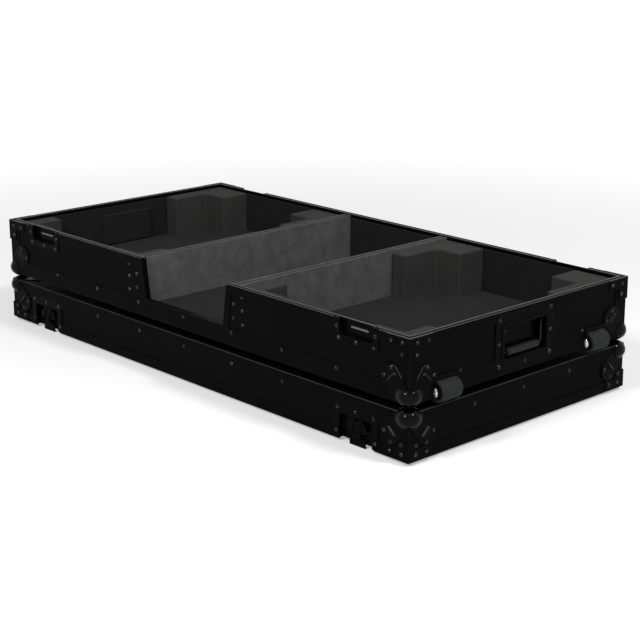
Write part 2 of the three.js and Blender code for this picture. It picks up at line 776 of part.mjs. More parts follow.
// A bay's sheet lies on the floor and is cut out round the pads that stand there
function floorFoam(x0, x1, pads) {
  return cut(block(x0, x1, -bayDepth, bayDepth, floorTop, foamTop), [...wheelCutters(), ...pads]);
}

// A divider stands between front and back, notched at its top ends under the rim's inner leg
function divider(x0, x1) {
  const notch = bayDepth - sheet;
  const shoulder = baseHeight - rimInnerLeg;
  const board = block(x0, x1, -bayDepth, bayDepth, floorTop, shoulder);
  return board.add(block(x0, x1, -notch, notch, floorTop, baseHeight - dividerDrop));
}

// The pad fills a bay's corner at (x, y); signs say which way the bay lies from there
function cornerPad(x, signX, y, signY) {
  const depth = signY > 0 ? frontPadDepth : backPadDepth;
  const leg = signY > 0 ? padFrontThickness : padBackThickness;
  const shape = new THREE.Shape();
  shape.moveTo(0, 0);
  shape.lineTo(padLength, 0);
  shape.lineTo(padLength, leg);
  shape.lineTo(padSideThickness + padRound, leg);
  shape.absarc(padSideThickness + padRound, leg + padRound, padRound, -quarterTurn, 2 * quarterTurn, true);
  shape.lineTo(padSideThickness, depth);
  shape.lineTo(0, depth);
  let pad = prism(shape, floorTop, baseHeight - padDrop);
  if (signX < 0) pad = pad.mirror([1, 0, 0]);
  if (signY < 0) pad = pad.mirror([0, 1, 0]);
  return cut(pad.translate([x, y, 0]), [...wheelCutters(), ...handleCutters()]);
}

// Materials, from the photograph

function surface(color, roughness, metalness) {
  return new THREE.MeshStandardMaterial({ color, roughness, metalness });
}

const materials = {
  laminate: surface(0x111112, 0.45, 0),
  extrusion: surface(0x141416, 0.35, 0.4),
  ballCorner: surface(0x0b0b0c, 0.15, 0.3),
  latch: surface(0x131314, 0.3, 0.4),
  steel: surface(0xb8bcc0, 0.25, 1),
  foam: surface(0x2e2f31, 0.95, 0),
  lining: surface(0x4a4c50, 0.9, 0),
  rubber: surface(0x2d3232, 0.7, 0),
};

// Assembly

const lid = new THREE.Group();
lid.position.z = hookReach;
const base = new THREE.Group();
base.position.z = hookReach + lidHeight + seam;

function place(group, name, solid, material, position = [0, 0, 0], turn = 0) {
  const mesh = new THREE.Mesh(toGeometry(solid), material);
  mesh.name = name;
  mesh.position.set(...position);
  mesh.rotation.z = turn;
  group.add(mesh);
  return mesh;
}

for (const [side, solid] of Object.entries(basePanels())) {
  place(base, `base_${side}_panel`, solid, materials.laminate);
}
for (const [side, solid] of Object.entries(lidPanels())) {
  place(lid, `lid_${side}_panel`, solid, materials.laminate);
}
place(base, 'base_extrusion_frame', baseFrame(), materials.extrusion);
place(lid, 'lid_extrusion_frame', lidFrame(), materials.extrusion);

const corner = ballCorner();
cornerSigns.forEach(([signX, signY], at) => {
  const [x, y] = [signX * halfLength, signY * halfDepth];
  const side = cornerNames[at];
  const low = place(base, `base_ball_corner_${side}`, corner, materials.ballCorner, [x, y, 0]);
  low.rotation.z = at * quarterTurn;
  const high = place(lid, `lid_ball_corner_${side}`, corner, materials.ballCorner, [x, y, lidHeight]);
  high.rotation.set(2 * quarterTurn, 0, (cornerSigns.length - 1 - at) * quarterTurn);
});

for (const [side, x, y, turn] of latchPlaces) {
  place(base, `latch_keeper_${side}`, latchKeeper(), materials.latch, [x, y, baseHeight], turn);
  place(lid, `latch_dish_${side}`, latchDish(), materials.latch, [x, y, 0], turn);
  place(lid, `latch_wing_${side}`, latchWing(), materials.latch, [x, y, wingPivotHeight], turn);
  place(lid, `latch_hook_${side}`, latchHook(), materials.latch, [x, y, 0], turn);
}

for (const [side, x, turn] of handlePlaces) {
  const pivotX = x - Math.sign(x) * bailPivotDepth;
  const gripHeight = bailPivotHeight - bailDrop;
  place(base, `handle_dish_${side}`, handleDish(), materials.latch, [x, 0, 0], turn);
  place(base, `handle_bail_${side}`, handleBail(), materials.steel, [pivotX, 0, bailPivotHeight], turn);
  place(base, `handle_grip_${side}`, handleGrip(), materials.rubber, [pivotX, 0, gripHeight], turn);
}

for (const [side, y] of wheelPlaces) {
  place(base, `wheel_housing_${side}`, wheelHousing(), materials.latch, [wheelX, y, wheelHeight]);
  place(base, `wheel_${side}`, wheel(), materials.rubber, [wheelX, y, wheelHeight]);
}

for (const [side, sign] of [['left', -1], ['right', 1]]) {
  const [near, far] = [sign * dividerInner, sign * dividerOuter];
  place(base, `${side}_divider`, divider(Math.min(near, far), Math.max(near, far)), materials.lining);
}

for (const [bay, x0, x1] of bays) {
  const padSigns = bay === 'mixer_bay' ? [] : cornerSigns;
  const pads = padSigns.map(([signX, signY]) => (
    cornerPad(signX < 0 ? x0 : x1, -signX, signY * bayDepth, -signY)
  ));
  pads.forEach((pad, at) => place(base, `${bay}_pad_${cornerNames[at]}`, pad, materials.foam));
  place(base, `${bay}_floor_foam`, floorFoam(x0, x1, pads), materials.foam);
}

const liningX = bayInner - fitGap;
const liningY = bayDepth - fitGap;
const liningTop = lidHeight - sheet - plyThickness;
const lining = block(-liningX, liningX, -liningY, liningY, liningTop - liningThickness, liningTop);
place(lid, 'lid_lining', lining, materials.foam);

const coffinCase = new THREE.Group();
coffinCase.position.x = (ballReach - (wheelRadius - wheelInset)) / 2;
coffinCase.add(lid, base);

export default coffinCase;
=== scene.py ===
import json
import math

import bpy
from bpy.props import FloatProperty, FloatVectorProperty, IntProperty, PointerProperty
from bpy.types import Operator, Panel, PropertyGroup
from mathutils import Matrix, Vector

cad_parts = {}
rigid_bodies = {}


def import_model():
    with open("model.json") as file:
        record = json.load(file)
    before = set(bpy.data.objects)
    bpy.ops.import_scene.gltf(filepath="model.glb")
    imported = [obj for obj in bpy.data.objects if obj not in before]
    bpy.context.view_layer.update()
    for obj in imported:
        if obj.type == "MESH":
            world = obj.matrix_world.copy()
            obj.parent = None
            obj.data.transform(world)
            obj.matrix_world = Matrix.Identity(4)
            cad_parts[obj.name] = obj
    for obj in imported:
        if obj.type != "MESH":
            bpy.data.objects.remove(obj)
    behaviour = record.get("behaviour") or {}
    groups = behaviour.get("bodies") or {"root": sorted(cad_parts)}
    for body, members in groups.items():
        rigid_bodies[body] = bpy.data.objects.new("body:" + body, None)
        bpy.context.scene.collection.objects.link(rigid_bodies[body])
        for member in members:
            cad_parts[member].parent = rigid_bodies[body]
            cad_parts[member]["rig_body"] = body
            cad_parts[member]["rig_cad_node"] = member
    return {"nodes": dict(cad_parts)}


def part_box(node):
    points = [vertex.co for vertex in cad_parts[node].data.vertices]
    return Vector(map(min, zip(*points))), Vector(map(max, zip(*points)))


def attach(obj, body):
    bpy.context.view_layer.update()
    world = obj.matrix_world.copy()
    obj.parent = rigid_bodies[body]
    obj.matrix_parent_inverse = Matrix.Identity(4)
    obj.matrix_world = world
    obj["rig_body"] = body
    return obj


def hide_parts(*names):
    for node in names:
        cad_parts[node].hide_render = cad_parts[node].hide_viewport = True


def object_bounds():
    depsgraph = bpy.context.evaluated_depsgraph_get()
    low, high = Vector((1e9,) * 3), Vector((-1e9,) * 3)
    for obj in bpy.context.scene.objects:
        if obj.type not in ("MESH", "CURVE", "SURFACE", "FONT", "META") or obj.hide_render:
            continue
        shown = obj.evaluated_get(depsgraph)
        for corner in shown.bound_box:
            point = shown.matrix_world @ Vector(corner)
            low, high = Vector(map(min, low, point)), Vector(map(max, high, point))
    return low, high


bl_info = {
    "name": "Coffin case looks",
    "version": (1, 0, 0),
    "blender": (4, 5, 0),
    "location": "View3D > Sidebar > Coffin case",
    "description": "Dresses the packed model of a two-deck flight case and sets its stage",
    "category": "Object",
}

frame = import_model()
CAD_LOW, CAD_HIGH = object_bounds()

MM = 0.001
CORNERS = {
    "front_left": (-1, -1),
    "front_right": (1, -1),
    "back_right": (1, 1),
    "back_left": (-1, 1),
}
SIDES = {"left": -1, "right": 1}
WHEELS = {"front": -1, "back": 1}
WALLS = {
    "front": Vector((0, -1, 0)),
    "back": Vector((0, 1, 0)),
    "left": Vector((-1, 0, 0)),
    "right": Vector((1, 0, 0)),
}

# Where the case lies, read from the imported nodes
PACKED_BALL_REACH = 7 * MM
PACKED_TONGUE = 3 * MM
BALL_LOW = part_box("base_ball_corner_front_left")[0]
BALL_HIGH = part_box("lid_ball_corner_back_right")[1]
CASE_MIDDLE = (BALL_LOW.x + BALL_HIGH.x) / 2
HALF_LENGTH = (BALL_HIGH.x - BALL_LOW.x) / 2 - PACKED_BALL_REACH
HALF_DEPTH = (BALL_HIGH.y - BALL_LOW.y) / 2 - PACKED_BALL_REACH
BASE_FOOT = BALL_LOW.z + PACKED_BALL_REACH
BASE_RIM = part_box("base_extrusion_frame")[1].z
LID_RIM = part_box("lid_extrusion_frame")[0].z + PACKED_TONGUE
LID_TOP = BALL_HIGH.z - PACKED_BALL_REACH
LATCH_OUT = sum(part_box("latch_keeper_front_right"), Vector()).x / 2 - CASE_MIDDLE

# The same by axis, along X and along Y
HALVES, MIDDLES = (HALF_LENGTH, HALF_DEPTH), (CASE_MIDDLE, 0)

# How far each skin stands out of the extrusions' outer faces
PLY_PROUD, BAR_PROUD, PLATE_PROUD, PETAL_PROUD, CLAMP_PROUD = (
    -1.5 * MM, 0, 0.5 * MM, 1.6 * MM, 2 * MM)


def length_setting(name, description, default, least, most):
    """A length, whose default and limits are given in millimetres."""
    return FloatProperty(
        name=name, description=description, default=default * MM, min=least * MM,
        max=most * MM, unit="LENGTH")


def colour_setting(name, description, default):
    return FloatVectorProperty(
        name=name, description=description, subtype="COLOR", default=default, min=0.0, max=1.0)


class CaseSizes(PropertyGroup):
    """Sizes that change how the hardware and the foam look."""

    edge: length_setting(
        "Metal edge", "Round of a folded metal edge", 0.5, 0.1, 2)
    foam_edge: length_setting(
        "Foam edge", "Round of a cut foam edge", 3.5, 0.5, 10)
    rivet_radius: length_setting(
        "Rivet radius", "Radius of a rivet's flange", 3.6, 1, 8)
    rivet_height: length_setting(
        "Rivet height", "How far a rivet's dome stands up", 1.4, 0.5, 4)
    ball_radius: length_setting(
        "Ball radius", "Radius of a corner's ball", 22, 10, 40)
    ball_reach: length_setting(
        "Ball reach", "How far a ball stands above or below the case", 7, 0, 20)
    ball_bulge: length_setting(
        "Ball bulge", "How far a ball stands outside the case's walls", 9.4, 0, 20)
    ball_squash: FloatProperty(
        name="Ball squash", description="Height of a ball as a share of its width",
        default=0.86, min=0.5, max=1.0)
    petal_radius: length_setting(
        "Petal radius", "Half the width of a corner's petal at its tip", 21.5, 10, 40)
    petal_tip: length_setting(
        "Petal tip", "Distance of a petal's round end from the case's edges", 42.5, 20, 80)
    ball_segments: IntProperty(
        name="Ball segments", description="Facets round a ball", default=48, min=12, max=96)


class CaseColours(PropertyGroup):
    """Colours of the case's finishes."""

    laminate: colour_setting(
        "Laminate", "Textured sheet on the plywood", (0.0026, 0.0026, 0.0027))
    extrusion: colour_setting(
        "Extrusion", "Dark anodised bars on the edges", (0.0025, 0.0025, 0.0025))
    corner: colour_setting(
        "Ball corner", "Gloss enamel on the pressed corners", (0.0016, 0.0019, 0.0016))
    latch: colour_setting(
        "Latch", "Enamel on latches and handles", (0.0017, 0.0017, 0.0016))
    steel: colour_setting(
        "Bright steel", "Bare polished hubs and pins", (0.62, 0.63, 0.64))
    foam: colour_setting(
        "Foam", "Dark foam of the deck pads and the lid's lining", (0.051, 0.052, 0.050))
    # Darker than the pads' foam: its tone was matched to the shade in the bays' gaps, so it is
    # partly painted shade.
    lining: colour_setting(
        "Bay lining", "Darker foam on the bays' floors and walls", (0.021, 0.021, 0.021))
    felt: colour_setting(
        "Divider lining", "Grey felt on the dividers", (0.118, 0.119, 0.118))
    core: colour_setting(
        "Divider core", "Stained plywood edge between the felts", (0.009, 0.0085, 0.008))
    rubber: colour_setting(
        "Rubber", "Grey-green tilt wheels", (0.026, 0.031, 0.030))
    grip: colour_setting(
        "Grip", "Moulded hand grip", (0.014, 0.014, 0.014))
    rivet: colour_setting(
        "Rivet", "Dark lacquer on the rivets", (0.012, 0.012, 0.012))
    bail: colour_setting(
        "Bail", "Dark plating on the handles' bails", (0.014, 0.014, 0.0147))
    floor: colour_setting(
        "Floor", "Pale studio floor", (0.82, 0.82, 0.82))


class CaseSettings(PropertyGroup):
    """All settings of the coffin case's looks."""

    sizes: PointerProperty(type=CaseSizes)
    colours: PointerProperty(type=CaseColours)


def settings():
    return bpy.context.scene.coffin_case


# Finishes


class Term:
    """A shader socket that takes part in sums, each operator adding one Math node."""

    def __init__(self, finish, socket):
        self.finish = finish
        self.socket = socket

    def maths(self, operation, *values):
        node = self.finish.node("ShaderNodeMath", {"operation": operation})
        for at, value in enumerate(values):
            self.finish.plug(node.inputs[at], value)
        return Term(self.finish, node.outputs[0])

    def __add__(self, other):
        return self.maths("ADD", self, other)

    def __radd__(self, other):
        return self.maths("ADD", other, self)

    def __sub__(self, other):
        return self.maths("SUBTRACT", self, other)

    def __rsub__(self, other):
        return self.maths("SUBTRACT", other, self)

    def __mul__(self, other):
        return self.maths("MULTIPLY", self, other)

    def __rmul__(self, other):
        return self.maths("MULTIPLY", other, self)

    def between(self, low, high):
        """0 at low, 1 at high and clamped, smoothly in between."""
        node = self.finish.node(
            "ShaderNodeMapRange", {"interpolation_type": "SMOOTHSTEP"},
            {"Value": self, "From Min": low, "From Max": high})
        return Term(self.finish, node.outputs["Result"])

    def size(self):
        return self.maths("ABSOLUTE", self)

    def sign(self):
        return self.maths("SIGN", self)

    def greater(self, other):
        return self.maths("MAXIMUM", self, other)

    def lesser(self, other):
        return self.maths("MINIMUM", self, other)


class Finish:
    """The nodes of a material or a world, with short calls for this case's patterns."""

    def __init__(self, owner):
        owner.use_nodes = True
        self.nodes = owner.node_tree.nodes
        self.links = owner.node_tree.links
        self.nodes.clear()
        self.place = None

    def plug(self, socket, item):
        if isinstance(item, Term):
            item = item.socket
        if isinstance(item, bpy.types.NodeSocket):
            self.links.new(item, socket)
        else:
            socket.default_value = item

    def node(self, kind, options=None, sockets=None):
        node = self.nodes.new(kind)
        for name, option in (options or {}).items():
            setattr(node, name, option)
        for name, item in (sockets or {}).items():
            self.plug(node.inputs[name], item)
        return node

    def where(self, stretch=(1, 1, 1)):
        """The place on the object, with each axis stretched."""
        if self.place is None:
            self.place = self.node("ShaderNodeTexCoord").outputs["Object"]
        node = self.node("ShaderNodeVectorMath", {"operation": "MULTIPLY"})
        self.plug(node.inputs[0], self.place)
        self.plug(node.inputs[1], stretch)
        return node.outputs["Vector"]

    def parts(self, vector):
        """A vector's parts along the object's three axes."""
        node = self.node("ShaderNodeSeparateXYZ", {}, {"Vector": vector})
        return [Term(self, node.outputs[axis]) for axis in "XYZ"]

    def place_parts(self):
        return self.parts(self.where())

    def noise(self, scale, detail=3.0, stretch=(1, 1, 1), rough=0.5):
        node = self.node(
            "ShaderNodeTexNoise", {},
            {"Vector": self.where(stretch), "Scale": scale, "Detail": detail, "Roughness": rough})
        return Term(self, node.outputs["Fac"])

    def cells(self, scale, stretch=(1, 1, 1)):
        node = self.node(
            "ShaderNodeTexVoronoi", {"feature": "F1"},
            {"Vector": self.where(stretch), "Scale": scale})
        return Term(self, node.outputs["Distance"])

    def true_normal(self):
        return self.node("ShaderNodeNewGeometry").outputs["Normal"]

    def rounded_normal(self, radius):
        """The normal once the edges near it are rounded."""
        node = self.node("ShaderNodeBevel", {"samples": 4}, {"Radius": radius})
        return node.outputs["Normal"]

    def edge_lean(self, radius):
        """Near 1 on convex edges: how far a rounded normal leans from the true one."""
        lean = self.node("ShaderNodeVectorMath", {"operation": "DOT_PRODUCT"})
        self.plug(lean.inputs[0], self.rounded_normal(radius))
        self.plug(lean.inputs[1], self.true_normal())
        return 1.0 - Term(self, lean.outputs["Value"])

    def squareness(self):
        """1 where the surface faces along an axis, and less the more it leans."""
        sizes = [part.size() for part in self.parts(self.true_normal())]
        return sizes[0].greater(sizes[1]).greater(sizes[2])

    def mix(self, factor, first, second):
        node = self.node("ShaderNodeMix", {"data_type": "RGBA"})
        self.plug(node.inputs[0], factor)
        for socket, colour in ((node.inputs[6], first), (node.inputs[7], second)):
            if isinstance(colour, bpy.types.NodeSocket):
                self.plug(socket, colour)
            else:
                socket.default_value = (*colour, 1.0)
        return node.outputs[2]

    def bump(self, height, distance, strength=1.0):
        node = self.node(
            "ShaderNodeBump", {},
            {"Height": height, "Distance": distance, "Strength": strength})
        return node.outputs["Normal"]

    def surface(self, varying, constants):
        """The Principled shader on the material's output."""
        shader = self.node("ShaderNodeBsdfPrincipled", {}, {**constants, **varying})
        self.node("ShaderNodeOutputMaterial", {}, {"Surface": shader.outputs["BSDF"]})


def tint(colour, factor):
    return tuple(min(1.0, channel * factor) for channel in colour)


def laminate_finish(finish):
    """Orange-peel laminate with faint rubs and a dull, uneven sheen."""
    colour = settings().colours.laminate
    peel = finish.noise(1400.0, 2.0)
    cloud = finish.noise(9.0, 4.0, rough=0.6)
    rubs = finish.noise(26.0, 5.0, stretch=(1.0, 1.0, 14.0), rough=0.7).between(0.62, 0.8)
    tone = (peel * 0.5 + cloud * 0.5).between(0.3, 0.75)
    dark = finish.mix(tone, tint(colour, 0.8), tint(colour, 1.35))
    finish.surface(
        {
            "Base Color": finish.mix(rubs * 0.4, dark, tint(colour, 2.6)),
            "Roughness": 0.42 + cloud * 0.16 - rubs * 0.08,
            "Normal": finish.bump(peel, 0.04 * MM, 0.6),
        },
        {"IOR": 1.07},
    )


def inward(finish):
    """How far a place lies inside the case's outer faces, seen from above."""
    along, across, _ = finish.place_parts()
    return (HALF_LENGTH - (along - CASE_MIDDLE).size()).lesser(HALF_DEPTH - across.size())


def band(value, low, high, blur):
    """1 between two values and 0 a little outside them."""
    return value.between(low - blur, low) * value.between(high + blur, high)


# The pale colour of the painted highlights on rims, keepers and corners
PAINTED_HIGHLIGHT = (0.5, 0.5, 0.49)
# Where highlights are painted on the rims, standing in for the lamps' glints: bands inward from
# the outer faces, the level of the lips, and the strip along the lid's top edge
OUTER_LIP = (-4 * MM, 1.1 * MM)
INNER_LIP = (8.6 * MM, 9.9 * MM)
KEEPER_BACK = (6 * MM, 12 * MM)
LIP_LEVEL = (BASE_RIM - 1.4 * MM, BASE_RIM - 0.8 * MM)
LID_STRIP = 1.2 * MM
HIGHLIGHT_BLUR = 0.2 * MM


def painted_lip_highlights(finish):
    """How strongly highlights are painted on the extrusion: on the base rim's two lips and the
    lid's top edge.
    """
    way, height = inward(finish), finish.place_parts()[2]
    lips = band(way, *OUTER_LIP, HIGHLIGHT_BLUR) * 0.2 + band(way, *INNER_LIP, HIGHLIGHT_BLUR) * 0.5
    lid_edge = band(height, LID_TOP - LID_STRIP, LID_TOP, HIGHLIGHT_BLUR) * way.between(
        LID_STRIP, LID_STRIP - HIGHLIGHT_BLUR)
    return lips * height.between(*LIP_LEVEL) + lid_edge * 0.12


def painted_keeper_highlights(finish):
    """How strongly highlights are painted on a keeper: along its top like the rim's inner lip,
    and in a strip on its back that stands in for the lit top of the bar.
    """
    half_strip, strip_level = 20 * MM, (BASE_RIM - 15.4 * MM, BASE_RIM - 12.2 * MM)
    way, (along, _, height) = inward(finish), finish.place_parts()
    aside = ((along - CASE_MIDDLE).size() - LATCH_OUT).size()
    top = band(way, *INNER_LIP, HIGHLIGHT_BLUR) * height.between(*LIP_LEVEL)
    back = band(way, *KEEPER_BACK, HIGHLIGHT_BLUR) * band(height, *strip_level, HIGHLIGHT_BLUR)
    return top * 0.5 + back * aside.between(half_strip + MM, half_strip) * 0.5


def painted_ledge_highlights(finish):
    """How strongly highlights are painted on a pressed corner: on the upward sides of the ribs
    and of the edges between petals.
    """
    edge_radius, ball_share, rib_blur = 2.2 * MM, 19 * MM, 4 * MM
    petal_gap, rib_reach = (42 * MM, 52 * MM), (54 * MM, 88 * MM)
    lean = finish.parts(finish.rounded_normal(edge_radius))
    along, across, height = finish.place_parts()
    along = along - CASE_MIDDLE
    level = height - (BASE_FOOT + LID_TOP) / 2
    # Distances from both outer faces and from the seam, less the ball's own share of them
    away = HALF_LENGTH - along.size() + (HALF_DEPTH - across.size()) + level.size() - ball_share
    cornerward = lean[0] * along.sign() + lean[1] * across.sign()
    # Only sides that face up are lightened, as painted highlights where the lamps above catch
    # them.
    upward = lean[2].between(0.12, 0.4)
    between = cornerward.between(0.95, 1.1) * away.between(*petal_gap)
    rib = band(away, *rib_reach, rib_blur) * level.between(0, MM) * 0.35
    return upward * between.greater(rib) * 0.24


def metal_finish(finish, colour, roughness, ior, edge_wear_and_glint, highlight_mask=None):
    """Dark enamel or anodised metal: fine grain, faint clouding, and convex edges lightened,
    partly as rubbed wear and partly as painted edge highlights.
    """
    fine = finish.noise(900.0, 2.0)
    cloud = finish.noise(14.0, 4.0, rough=0.6)
    edge = finish.edge_lean(1.2 * MM).between(0.04, 0.3)
    # Convex edges go towards a much paler tint: rubbed wear, and painted highlights along the
    # edges.
    wear_and_glint = (edge * finish.noise(60.0, 4.0)).between(0.2, 0.75)
    even = finish.mix(cloud.between(0.3, 0.7), tint(colour, 0.8), tint(colour, 1.3))
    shade = finish.mix(wear_and_glint * edge_wear_and_glint, even, tint(colour, 28.0))
    # Painted highlights: where a mask is given, the colour goes towards pale metal.
    if highlight_mask:
        shade = finish.mix(highlight_mask(finish) * (0.5 + cloud * 0.5), shade, PAINTED_HIGHLIGHT)
    finish.surface(
        {
            "Base Color": shade,
            "Roughness": roughness + cloud * 0.1 + fine * 0.05 - wear_and_glint * 0.08,
            "Normal": finish.bump(fine, 0.015 * MM, 0.5),
        },
        {"IOR": ior},
    )


def extrusion_finish(finish):
    metal_finish(
        finish, settings().colours.extrusion, roughness=0.24, ior=1.065, edge_wear_and_glint=0.6,
        highlight_mask=painted_lip_highlights)


def corner_finish(finish):
    metal_finish(
        finish, settings().colours.corner, roughness=0.08, ior=1.085, edge_wear_and_glint=0.9,
        highlight_mask=painted_ledge_highlights)


def ball_finish(finish):
    """The corner's enamel again, but darker and glossier on the ball."""
    colour = tint(settings().colours.corner, 0.3)
    metal_finish(finish, colour, roughness=0.06, ior=1.19, edge_wear_and_glint=0.2)


def latch_finish(finish, highlight_mask=None):
    metal_finish(
        finish, settings().colours.latch, roughness=0.18, ior=1.08, edge_wear_and_glint=0.7, highlight_mask=highlight_mask)


def keeper_finish(finish):
    latch_finish(finish, painted_keeper_highlights)


def rivet_finish(finish):
    """Blackened steel, with painted glints here and there round the dome's shoulder."""
    colour = settings().colours.rivet
    fine = finish.noise(700.0, 2.0)
    # The shoulder is painted lighter, as a glint of the lamps.
    shoulder = finish.squareness().between(0.975, 0.9)
    wear_and_glint = shoulder * finish.noise(190.0, 2.0).between(0.46, 0.6)
    dark = finish.mix(fine, tint(colour, 0.7), tint(colour, 1.3))
    finish.surface(
        {
            "Base Color": finish.mix(wear_and_glint, dark, tint(colour, 8.0)),
            "Roughness": 0.2 + fine * 0.08,
        },
        {"Metallic": 1.0},
    )


def bail_finish(finish):
    """Dark zinc-plated bar: it mirrors little but the lamps."""
    colour = settings().colours.bail
    streaks = finish.noise(300.0, 3.0, stretch=(1, 1, 5))
    finish.surface(
        {
            "Base Color": finish.mix(streaks, tint(colour, 0.7), tint(colour, 1.4)),
            "Roughness": 0.18 + streaks * 0.14,
            "Normal": finish.bump(streaks, 0.03 * MM, 0.5),
        },
        {"Metallic": 1.0},
    )


def steel_finish(finish):
    """Polished steel with fine turning marks and faint stains."""
    marks = finish.noise(1500.0, 2.0, stretch=(1, 6, 1))
    stains = finish.noise(70.0, 4.0, rough=0.65)
    colour = settings().colours.steel
    finish.surface(
        {
            "Base Color": finish.mix(stains.between(0.35, 0.7), tint(colour, 0.72), colour),
            "Roughness": 0.16 + marks * 0.08 + stains * 0.1,
            "Normal": finish.bump(marks, 0.03 * MM, 0.4),
        },
        {"Metallic": 1.0},
    )


def foam_finish(finish, colour=None):
    """Open-cell foam: pinholes, cut-face mottling and a soft bloom."""
    colour = colour or settings().colours.foam
    holes = finish.cells(650.0).between(0.05, 0.55)
    grain = finish.noise(1800.0, 2.0)
    cloud = finish.noise(22.0, 4.0, rough=0.7)
    body = finish.mix(cloud.between(0.25, 0.8), tint(colour, 0.9), tint(colour, 1.14))
    finish.surface(
        {
            "Base Color": finish.mix(holes, tint(colour, 0.42), body),
            "Roughness": 0.86 + grain * 0.12,
            "Normal": finish.bump(holes + grain * 0.4, 0.5 * MM, 0.75),
        },
        {"IOR": 1.06, "Sheen Weight": 0.04, "Sheen Roughness": 0.5},
    )


# The bays' lining, darkened partly as painted shade of the bays
def lining_finish(finish):
    foam_finish(finish, settings().colours.lining)


def felt_finish(finish):
    """Short-nap felt: tangled fibres, lint and a velvety edge."""
    colour = settings().colours.felt
    fibres = finish.noise(950.0, 5.0, stretch=(1.0, 1.0, 0.35), rough=0.75)
    matted = finish.noise(35.0, 4.0, rough=0.7)
    lint = finish.noise(420.0, 2.0, stretch=(1.0, 0.25, 1.0)).between(0.7, 0.78)
    body = finish.mix((fibres * 0.6 + matted * 0.4).between(0.3, 0.7),
                      tint(colour, 0.6), tint(colour, 1.35))
    finish.surface(
        {
            "Base Color": finish.mix(lint * 0.5, body, tint(colour, 3.0)),
            "Roughness": 0.88 + fibres * 0.1,
            "Normal": finish.bump(fibres, 0.4 * MM, 0.7),
        },
        {"IOR": 1.06, "Sheen Weight": 0.08, "Sheen Roughness": 0.4},
    )


def core_finish(finish):
    """The stained edge of plywood: thin plies with a little open grain."""
    colour = settings().colours.core
    plies = finish.noise(420.0, 1.0, stretch=(1.0, 0.02, 0.02)).between(0.35, 0.65)
    pores = finish.noise(900.0, 3.0, stretch=(1.0, 0.12, 1.0))
    finish.surface(
        {
            "Base Color": finish.mix(plies, tint(colour, 0.6), tint(colour, 1.9)),
            "Roughness": 0.6 + pores * 0.2,
            "Normal": finish.bump(pores + plies * 0.5, 0.2 * MM, 0.6),
        },
        {"IOR": 1.25},
    )


def rubber_finish(finish):
    """Moulded rubber, matt, with scuffs from rolling."""
    colour = settings().colours.rubber
    grain = finish.noise(1100.0, 2.0)
    scuffs = finish.noise(55.0, 5.0, stretch=(1.0, 3.5, 1.0), rough=0.7).between(0.5, 0.72)
    finish.surface(
        {
            "Base Color": finish.mix(scuffs * 0.7, colour, tint(colour, 1.8)),
            "Roughness": 0.5 + grain * 0.14 + scuffs * 0.1,
            "Normal": finish.bump(grain, 0.05 * MM, 0.6),
        },
        {"IOR": 1.12},
    )


def grip_finish(finish):
    """Moulded plastic grip with a leather-like grain, polished by hands."""
    colour = settings().colours.grip
    pebbles = finish.cells(700.0).between(0.1, 0.6)
    polish = finish.noise(28.0, 3.0)
    finish.surface(
        {
            "Base Color": finish.mix(pebbles, tint(colour, 0.7), tint(colour, 1.3)),
            "Roughness": 0.34 + polish * 0.2,
            "Normal": finish.bump(pebbles, 0.08 * MM, 0.5),
        },
        {"IOR": 1.2},
    )


FINISHES = {
    "black_laminate": laminate_finish,
    "black_extrusion": extrusion_finish,
    "black_corner": corner_finish,
    "corner_ball": ball_finish,
    "black_latch": latch_finish,
    "latch_keeper": keeper_finish,
    "bright_steel": steel_finish,
    "dark_foam": foam_finish,
    "bay_lining": lining_finish,
    "divider_lining": felt_finish,
    "divider_core": core_finish,
    "dark_rubber": rubber_finish,
    "hand_grip": grip_finish,
    "dark_rivet": rivet_finish,
    "dark_bail": bail_finish,
}


def finish_of(name):
    """The finish's material, made the first time it is asked for. Its name differs from
    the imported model's own materials, which carry the plain slot names."""
    own = f"{name}_finish"
    material = bpy.data.materials.get(own)
    if not material:
        material = bpy.data.materials.new(own)
        FINISHES[name](Finish(material))
    return material


# Modelling steps, each as it would be done by hand

# Places nearer than this count as one, and a face is square on from this share of its normal
NEAR = 0.1 * MM
SQUARE_ON = 0.99


def only(*pieces):
    """Select these objects and no other, in object mode; the last one is active."""
    if bpy.context.object and bpy.context.object.mode != "OBJECT":
        bpy.ops.object.mode_set(mode="OBJECT")
    bpy.ops.object.select_all(action="DESELECT")
    for piece in pieces:
        piece.select_set(True)
        bpy.context.view_layer.objects.active = piece


def settle(piece, name):
    """Bring a piece's place, turn and size into its mesh, and name both."""
    only(piece)
    bpy.ops.object.transform_apply(location=True, rotation=True, scale=True)
    piece.name = name
    piece.data.name = name
    return piece


def pick(piece, kind, test):
    """In edit mode, select what test approves: faces by (centre, normal), edges by their
    two ends, vertices by place."""
    bpy.ops.object.mode_set(mode="OBJECT")
    mesh = piece.data
    for group in (mesh.vertices, mesh.edges, mesh.polygons):
        group.foreach_set("select", [False] * len(group))
    if kind == "FACE":
        for face in mesh.polygons:
            face.select = bool(test(face.center, face.normal))
    elif kind == "EDGE":
        for edge in mesh.edges:
            edge.select = bool(test(*(mesh.vertices[at].co for at in edge.vertices)))
    else:
        for vertex in mesh.vertices:
            vertex.select = bool(test(vertex.co))
    bpy.context.tool_settings.mesh_select_mode = (
        kind == "VERT", kind == "EDGE", kind == "FACE")
    bpy.ops.object.mode_set(mode="EDIT")


def pick_all(piece):
    only(piece)
    bpy.ops.object.mode_set(mode="EDIT")
    bpy.ops.mesh.select_all(action="SELECT")


def outward(piece):
    """Turn every face of a closed piece outward."""
    pick_all(piece)
    bpy.ops.mesh.normals_make_consistent(inside=False)
    bpy.ops.object.mode_set(mode="OBJECT")


